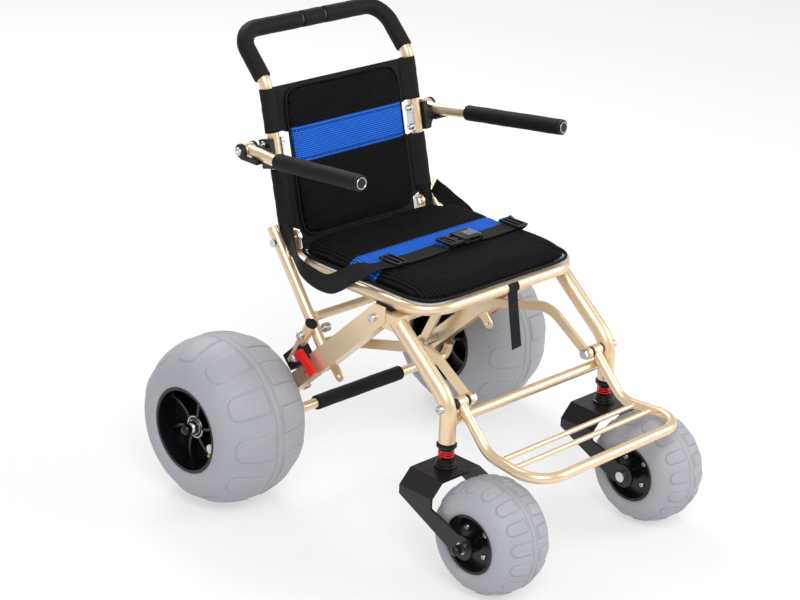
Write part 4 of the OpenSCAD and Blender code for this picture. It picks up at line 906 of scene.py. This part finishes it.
def strap_piece(name, runs, body, node):
    verts, faces = join_parts([(v, f) for v, f, _ in runs])
    uvs = [uv for _, _, run_uvs in runs for uv in run_uvs]
    table = {tuple(round(c * MM, 7) for c in v): uv for v, uv in zip(verts, uvs)}
    return piece(name, verts, faces, body, "webbing", webbing, (node,),
                 uv=lambda c: table.get(tuple(round(q, 7) for q in c), (c.x, c.y)))


# The belt's right run: from beside the back post, down outside the seat tube and up over the pad
BELT_POINTS = ((-206.2, 0, 518), (-208.5, 20, 509), (-216, 40, 495), (-227.5, 72, 473.5), (-225.5, 110, 458),
               (-224.7, 150, 457), (-227, 185, 475.6), (-222, 216, 498.5), (-196, 241, BELT_TOP),
               (-158, 250, BELT_TOP + 2), (-90, 252, BELT_TOP + 2), (-24, 249, BELT_TOP + 2))
BELT_SIDES = ((0, 0.3, -1), (0, 0.15, -1), (0, 0, -1), (0.2, 0, -1), (0, 0, -1), (0, 0, -1), (-0.1, 0.1, -1),
              (-0.5, 0.3, -0.8), (-0.25, 1, 0.06), (-0.2, 1, 0), (0, 1, 0), (0, 1, 0))
# The left run ends further out, because the buckle lies left of the middle
LEFT_END_SHIFT = 44
left_points = [(-x, u, z) for x, u, z in BELT_POINTS]
left_points[-1] = (LEFT_END_SHIFT - BELT_POINTS[-1][0],) + BELT_POINTS[-1][1:]
belt_runs = [strap([at(*p) for p in points], [(x * turn, -u, z) for x, u, z in BELT_SIDES], BELT_WIDTH)
             for points, turn in ((BELT_POINTS, 1), (left_points, -1))]
belt = strap_piece("belt_webbing", belt_runs, "chassis", "lap_belt")

# The fold strap goes over the seat's front tube and hangs
FRONT_TUBE_U, FRONT_TUBE_Z, FOLD_R, FOLD_X = 392, 468, 12.6, 14
FALL, FALL_SIDE, FALL_AHEAD = 36, 3, 4
hang = [(FOLD_X, FRONT_TUBE_U + FOLD_R * math.sin(t), FRONT_TUBE_Z + FOLD_R * math.cos(t))
        for t in np.radians(np.arange(35, 141, 21))]
hang_u = FRONT_TUBE_U + FOLD_R * math.sin(math.radians(160)) + 3
hang += [(FOLD_X + FALL_SIDE * k, hang_u + FALL_AHEAD * k, FRONT_TUBE_Z - FOLD_R - FALL * k)
         for k in (1, 2, 3)]
fold_run = strap([at(*p) for p in hang], [(1, 0, 0)] * len(hang), FOLD_STRAP_WIDTH)
fold = strap_piece("strap_webbing", [fold_run], "chassis", "fold_strap")


# Small hardware
SOCKET_SHARE = 0.44


def box_mesh(centre, size, bevel):
    """A box with rounded edges, in mm."""
    bm = bmesh.new()
    bmesh.ops.create_cube(bm, size=1.0)
    for v in bm.verts:
        v.co = Vector((v.co.x * size[0], v.co.y * size[1], v.co.z * size[2]))
    bmesh.ops.bevel(bm, geom=list(bm.edges), offset=min(bevel, 0.45 * min(size)), segments=2, affect="EDGES",
                    profile=0.6)
    verts = [np.array(v.co) + np.array(centre, float) for v in bm.verts]
    faces = [tuple(v.index for v in f.verts) for f in bm.faces]
    bm.free()
    return verts, faces


def button_head(centre, flip, r, h, seg=36):
    """A domed bolt head of radius r and height h with a hexagon socket, facing +X or -X."""
    dome_rings = [(1.0, 0.0), (1.0, 0.22), (0.93, 0.6), (0.78, 0.9), (0.6, 1.0)]
    socket_depths = (1.0, 0.35)  # from the head's top down, as shares of its height
    verts = []
    for share, rise in dome_rings:
        verts += [spoke(centre, rise * h * flip, share * r, t) for t in round_angles(seg)]
    for rise in socket_depths:
        for t in round_angles(seg):
            off_flat = math.radians((math.degrees(t) % 60) - 30)
            across = SOCKET_SHARE * r * math.cos(math.radians(30)) / math.cos(off_flat)
            verts.append(spoke(centre, rise * h * flip, across, t))
    return verts, capped_faces(len(dome_rings) + len(socket_depths), seg)


def hex_nut(x0, x1, u, z, r):
    """A hexagon nut between two side distances, with chamfered ends."""
    return lathe([(r * 0.86, x0), (r, x0 + 1.0), (r, x1 - 1.0), (r * 0.86, x1)], at(0, u, z), 6)


def weld_ring(centre, r, thick, waves=17):
    """A rippled weld bead round a bar that runs across the object."""
    around, section = 68, 8
    verts = []
    for a in round_angles(around):
        t = thick * (1 + 0.22 * math.sin(waves * a))
        for b in round_angles(section):
            verts.append(spoke(centre, t * math.sin(b), r + t * math.cos(b), a))
    return verts, ring_faces(around, section)


# Bolts as (u, z), heads as (side, bolt, radius, height) and nuts as (inner side, outer side, bolt)
LEG_BOLT, BEAM_BOLT, STOP_BOLT, LATCH_BOLT = (467.78, 316.19), (288, 437), (105.7, 343.8), (98.57, 296.59)
BRACE_BOLT, HINGE_BOLT = (30.5, 193.8), (-3, 493)
HEADS = ((243, LEG_BOLT, 7.8, 3.6), (245, BEAM_BOLT, 7.8, 3.6), (253.5, STOP_BOLT, 7.6, 3.2),
         (261.2, LATCH_BOLT, 6.2, 2.8), (234, BRACE_BOLT, 6.6, 3.0))
NUTS = ((151.7, 159.9, LEG_BOLT), (197.4, 205.6, BEAM_BOLT), (159.4, 167.6, HINGE_BOLT),
        (151.7, 159.9, BRACE_BOLT))
NUT_R = 9.7
ARM_PIVOT, ARM_PIVOT_HEAD = (262.5, -68, 667), (7.8, 3.6)
CLAMP_OUT_X, CLAMP_OUT_HEAD = 217.1, (5.8, 2.6)
CLAMP_IN_X, CLAMP_IN_HEAD, CLAMP_BOLTS_V = 168.7, (5.8, 3.2), (152, 190)
heads, nuts, back_heads = [], [], []
for _, sx in SIDES:
    heads += [button_head(at(x * sx, u, z), sx, r, h) for x, (u, z), r, h in HEADS]
    nuts += [hex_nut(*sorted((x0 * sx, x1 * sx)), u, z, NUT_R) for x0, x1, (u, z) in NUTS]
    back_heads.append(button_head(beside(ARM_PIVOT, sx), sx, *ARM_PIVOT_HEAD))
    back_heads.append(button_head(back_at(CLAMP_OUT_X * sx, CLAMP_BOLTS_V[1]), sx, *CLAMP_OUT_HEAD))
    back_heads += [button_head(back_at(CLAMP_IN_X * sx, v), -sx, *CLAMP_IN_HEAD) for v in CLAMP_BOLTS_V]
sharp(piece("bolt_heads", *join_parts(heads), "chassis", "steel", steel))
sharp(piece("hex_nuts", *join_parts(nuts), "chassis", "steel", steel))
sharp(piece("back_bolt_heads", *join_parts(back_heads), "back", "steel", steel))

# Weld beads as (place, bar radius, bead radius), and the footrest's rungs as shares of its side's run
WELDS = (((206.3, 468.8, 286.0), 10.6, 2.0), ((205.6, 326, 442), 10.6, 2.0), ((202.3, 92.25, 366), 9.6, 1.8))
RUNG_SHARES, RUNG_R, RUNG_Z = (0.2, 0.46), 5.3, 238.2
RUNG_BEAD, RUNG_RIPPLES = 1.3, 11
FOOT_BAR_R, FOOT_REAR, FOOT_FRONT = 9.6, (188, 545.9), (208, 684)
welds = [weld_ring(beside(place, sx), r, thick) for _, sx in SIDES for place, r, thick in WELDS]
piece("frame_welds", *join_parts(welds), "chassis", "frame", frame_paint)
rung_welds = []
for share in RUNG_SHARES:
    x, u = (rear + (front - rear) * share for rear, front in zip(FOOT_REAR, FOOT_FRONT))
    place = (x - FOOT_BAR_R, u, RUNG_Z)
    rung_welds += [weld_ring(beside(place, sx), RUNG_R, RUNG_BEAD, RUNG_RIPPLES) for _, sx in SIDES]
piece("rung_welds", *join_parts(rung_welds), "footrest", "frame", frame_paint)

# Turned trim of the wheels and arms: outlines as (radius, along) and places off the wheel's middle
BEARING_OUT = 72.6
BEARING_RINGS = (((13.4, 0), (13.4, 1.3), (15.2, 1.5), (15.6, 0)),
                 ((19.4, 0), (19.4, 1.5), (22.0, 1.5), (22.6, 0)))
BEARING_SEAL = ((15.6, 0), (15.8, 0.8), (19.2, 0.8), (19.4, 0))
PLUG_PLACE, VALVE_PLACE = (56.5, -55.0, -25.0), (56.5, -48.0, -42.0)
PLUG_BOSS = ((13.0, -1.0), (12.0, 3.0), (11.2, 22.0), (10.6, 23.0), (0.01, 23.2))
PLUG = ((10.2, 23.0), (9.5, 25.8), (7.5, 26.8), (0.01, 27.0))
VALVE = ((4.2, 0.0), (4.2, 3.0), (2.6, 4.0), (2.6, 14.0), (3.6, 14.0), (3.6, 22.0), (2.4, 23.5), (0.01, 23.8))
AXLE_CAP_OUT = 76.9
AXLE_CAP = [(13.9, 0.0), (13.9, 4.0), (12.6, 5.2), (9.6, 5.6), (9.2, 8.0)]
AXLE_CAP += dome(11.0, 16.6, -34, 12) + [(0.01, 27.6)]
CASTER_CAP = [(9.2, 80.4), (9.2, 92.3)] + dome(9.2, 92.3, 10, 10) + [(0.01, 101.5)]
HUB_SCREW_OUT, HUB_SCREW_CIRCLE, HUB_SCREW = 40.6, 31, (5.6, 4.2)
ARM_RING_AHEAD = 4
ARM_RING = ((9.4, -0.4), (9.4, 0.6), (9.9, 1.0), (10.7, 1.0), (11.1, 0.6), (11.1, -0.4))
BOTH_FACES = (1, -1)


def rear_wheel_trim(side, sx):
    """Bearings on both faces of a rear hub, and the plug, valve and axle cap on its outer face."""
    hub, body = beside(REAR_WHEEL, sx), "rear_wheel_" + side
    faces = [(hub + (BEARING_OUT * f, 0, 0), f) for f in BOTH_FACES]
    rings = [lathe(ring, place, 48, f) for place, f in faces for ring in BEARING_RINGS]
    seals = [lathe(BEARING_SEAL, place, 48, f) for place, f in faces]
    piece("bearing_rings_" + side, *join_parts(rings), body, "steel", steel)
    piece("bearing_seals_" + side, *join_parts(seals), body, "black_plastic", rubber)
    plug, valve = (hub + np.array(place) * (sx, 1, 1) for place in (PLUG_PLACE, VALVE_PLACE))
    piece("plug_boss_" + side, *lathe(PLUG_BOSS, plug, 40, sx), body, "black_plastic", hub_plastic)
    sharp(piece("hub_plug_" + side, *lathe(PLUG, plug, 40, sx), body, "black_plastic", white_plastic))
    sharp(piece("valve_" + side, *lathe(VALVE, valve, 24, sx), body, "black_plastic", yellow_plastic))
    cap = lathe(AXLE_CAP, hub + (AXLE_CAP_OUT * sx, 0, 0), 40, sx)
    piece("axle_cap_" + side, *cap, "chassis", "black_plastic", hub_plastic)


def caster_screws(side, sx):
    """Four screws on both faces of a caster's hub."""
    wheel = beside(CASTER_WHEEL, sx)
    screws = []
    for f in BOTH_FACES:
        for a in np.radians(45 + 90 * np.arange(4)):
            screws.append(button_head(spoke(wheel, HUB_SCREW_OUT * f, HUB_SCREW_CIRCLE, a), f, *HUB_SCREW))
    sharp(piece("hub_screws_" + side, *join_parts(screws), "caster_wheel_" + side, "steel", steel))


for side, sx in SIDES:
    rear_wheel_trim(side, sx)
    caster_screws(side, sx)
    _, tip, ahead = arm_line(sx)
    rim = ring_about(ARM_RING, tip + ahead * ARM_RING_AHEAD, ahead)
    sharp(piece("arm_ring_" + side, *rim, "arm_" + side, "steel", steel))
    piece("caster_cap_" + side, *lathe(CASTER_CAP, beside(CASTER_WHEEL, sx), 40, sx), "fork_" + side,
          "black_plastic", hub_plastic)

# Belt hardware: a side-release buckle and two slide adjusters, as boxes (centre, size) with rounded edges
BUCKLE = at(22, 249, BELT_TOP + 6)
SOCKET_BOXES = [((15, 0, 7.6), (40, 43, 3.4)), ((15, 0, -0.6), (40, 43, 3.4)), ((15, 0, 3.4), (38, 20, 6)),
                ((39, 18.6, 3.4), (12, 5.6, 8)), ((39, -18.6, 3.4), (12, 5.6, 8)), ((42, 0, 3.4), (4, 42, 6))]
PRONG_BOXES = [((-8, 16.8, 3.4), (34, 8, 6.2)), ((-8, -16.8, 3.4), (34, 8, 6.2)),
               ((-8, 0, 3.4), (26, 15, 5.4)), ((-20, 0, 3.4), (7, 43, 7)), ((-31, 0, 3.4), (4.5, 42, 5.5)),
               ((-41, 0, 3.4), (5, 43, 6))]
PRONG_BOXES += [((-30, y, 3.4), (24, 4.6, 7)) for y in (19.4, -19.4)]
# A mid-grey plate laid on top of the buckle's socket
GREY_PLATE_BOXES = (((26, 0, 9.3), (24, 22, 1.6)), ((40, 0, 9.0), (4, 36, 1.6)))
ADJUSTER_BOXES = [((x, 0, 0), (4.6, 50, 4.6)) for x in (-12.4, 0, 12.4)]
ADJUSTER_BOXES += [((0, y, 0), (29, 5.0, 4.8)) for y in (-23.2, 23.2)]
ADJUSTERS = [at(x, 246, BELT_TOP + 5.4) for x in (-150, 178)]
HARDWARE_ANGLE = 50


def boxes(place, table, bevel):
    return [box_mesh(place + np.array(c), size, bevel) for c, size in table]


hardware = boxes(BUCKLE, SOCKET_BOXES + PRONG_BOXES, 1.3)
for place in ADJUSTERS:
    hardware += boxes(place, ADJUSTER_BOXES, 1.2)
grey_plate = join_parts(boxes(BUCKLE, GREY_PLATE_BOXES, 1.0))
sharp(piece("buckle_grey_plate", *grey_plate, "chassis", "black_plastic", mid_grey), HARDWARE_ANGLE)
sharp(piece("belt_hardware", *join_parts(hardware), "chassis", "black_plastic", black_plastic,
            ("belt_buckles",)), HARDWARE_ANGLE)


# Bindings sewn round the pads: each one's outline, the power of its corners, and the tape's radius
SEAT_EDGE, SEAT_TAPE_R = (210, 186, SEAT_PAD["corner"]), 3.6
BACK_EDGE, BACK_TAPE_R = (152.5, 147.5, BACK_PAD["corner"]), 2.6
TAPE_LOW, TAPE_SIDES = 0.2, 10


def pad_edge(half_w, half_d, corner, n=160):
    """Points round a pad's outline."""
    pts = []
    for t in round_angles(n):
        a, b = math.cos(t), math.sin(t)
        f = 1 / (abs(a) ** corner + abs(b) ** corner) ** (1 / corner)
        pts.append((half_w * a * f * (1 - DRAWN_IN * math.cos(math.pi / 2 * b * f)),
                    half_d * b * f * (1 - DRAWN_IN * math.cos(math.pi / 2 * a * f))))
    return np.array(pts)


def binding(name, edge, place, body, r, uv):
    """A rolled tape round a pad's edge."""
    verts = []
    for i, mid in enumerate(edge):
        d = unit(edge[(i + 1) % len(edge)] - edge[i - 1])
        out = np.array([d[1], -d[0]])
        ripple = 1 + 0.05 * math.sin(i * 1.9)
        for a in round_angles(TAPE_SIDES):
            x, y = mid + out * (r * 0.75 * ripple * math.cos(a) - 1.0)
            verts.append(place((x, y, TAPE_LOW + r + r * math.sin(a))))
    piece(name, verts, ring_faces(len(edge), TAPE_SIDES), body, "upholstery", nylon, uv=uv)


binding("seat_binding", pad_edge(*SEAT_EDGE), on_seat_pad, "chassis", SEAT_TAPE_R, flat_uv)
binding("back_binding", pad_edge(*BACK_EDGE), on_back_pad, "back", BACK_TAPE_R, back_uv)

# Studio
FLOOR_HALF, FLOOR_GLOW, SKY_GLOW = 30000, 0.55, 0.55


def floor_material():
    """Pale floor that keeps shadows; part of it glows where the camera or a reflection sees it."""
    n = Nodes("floor")
    n.set(Base_Color=n.mix(n.noise(3.0, 3.0), rgb(0.86, 0.86, 0.865), rgb(0.88, 0.88, 0.885)), Roughness=0.9)
    rays = n.add("ShaderNodeLightPath").outputs
    seen = n.math("MAXIMUM", rays["Is Camera Ray"], rays["Is Glossy Ray"])
    seen = n.math("MULTIPLY", n.math("MAXIMUM", seen, rays["Is Transmission Ray"]), FLOOR_GLOW)
    glow = n.add("ShaderNodeEmission")
    blend = n.add("ShaderNodeMixShader", {0: seen, 1: n.shader.outputs[0], 2: glow.outputs[0]})
    n.put(n.tree.nodes["Material Output"].inputs[0], blend.outputs[0])
    return n.mat


corners = [(x * FLOOR_HALF, y * FLOOR_HALF, 0) for x, y in ((-1, -1), (1, -1), (1, 1), (-1, 1))]
floor = mesh_object("floor", corners, [(0, 1, 2, 3)])
floor.data.materials.append(floor_material())


def area(name, place, size, power, target=(0, 0, 0.4)):
    """A round area lamp that faces the target."""
    data = bpy.data.lights.new(name, "AREA")
    data.shape = "DISK"
    data.size = size
    data.energy = power
    obj = bpy.data.objects.new(name, data)
    obj.location = place
    obj.rotation_euler = (Vector(target) - Vector(place)).to_track_quat("-Z", "Y").to_euler()
    scene.collection.objects.link(obj)


area("key", (-2.2, -2.6, 3.6), 2.4, 120)
area("fill", (2.8, -2.4, 2.2), 2.6, 60)
area("rim", (1.0, 3.0, 3.2), 2.4, 80)
world = bpy.data.worlds.new("world")
scene.world = world
world.use_nodes = True
background = world.node_tree.nodes["Background"]
background.inputs["Color"].default_value = (1, 1, 1, 1)
background.inputs["Strength"].default_value = SKY_GLOW
scene.view_settings.view_transform = "Standard"
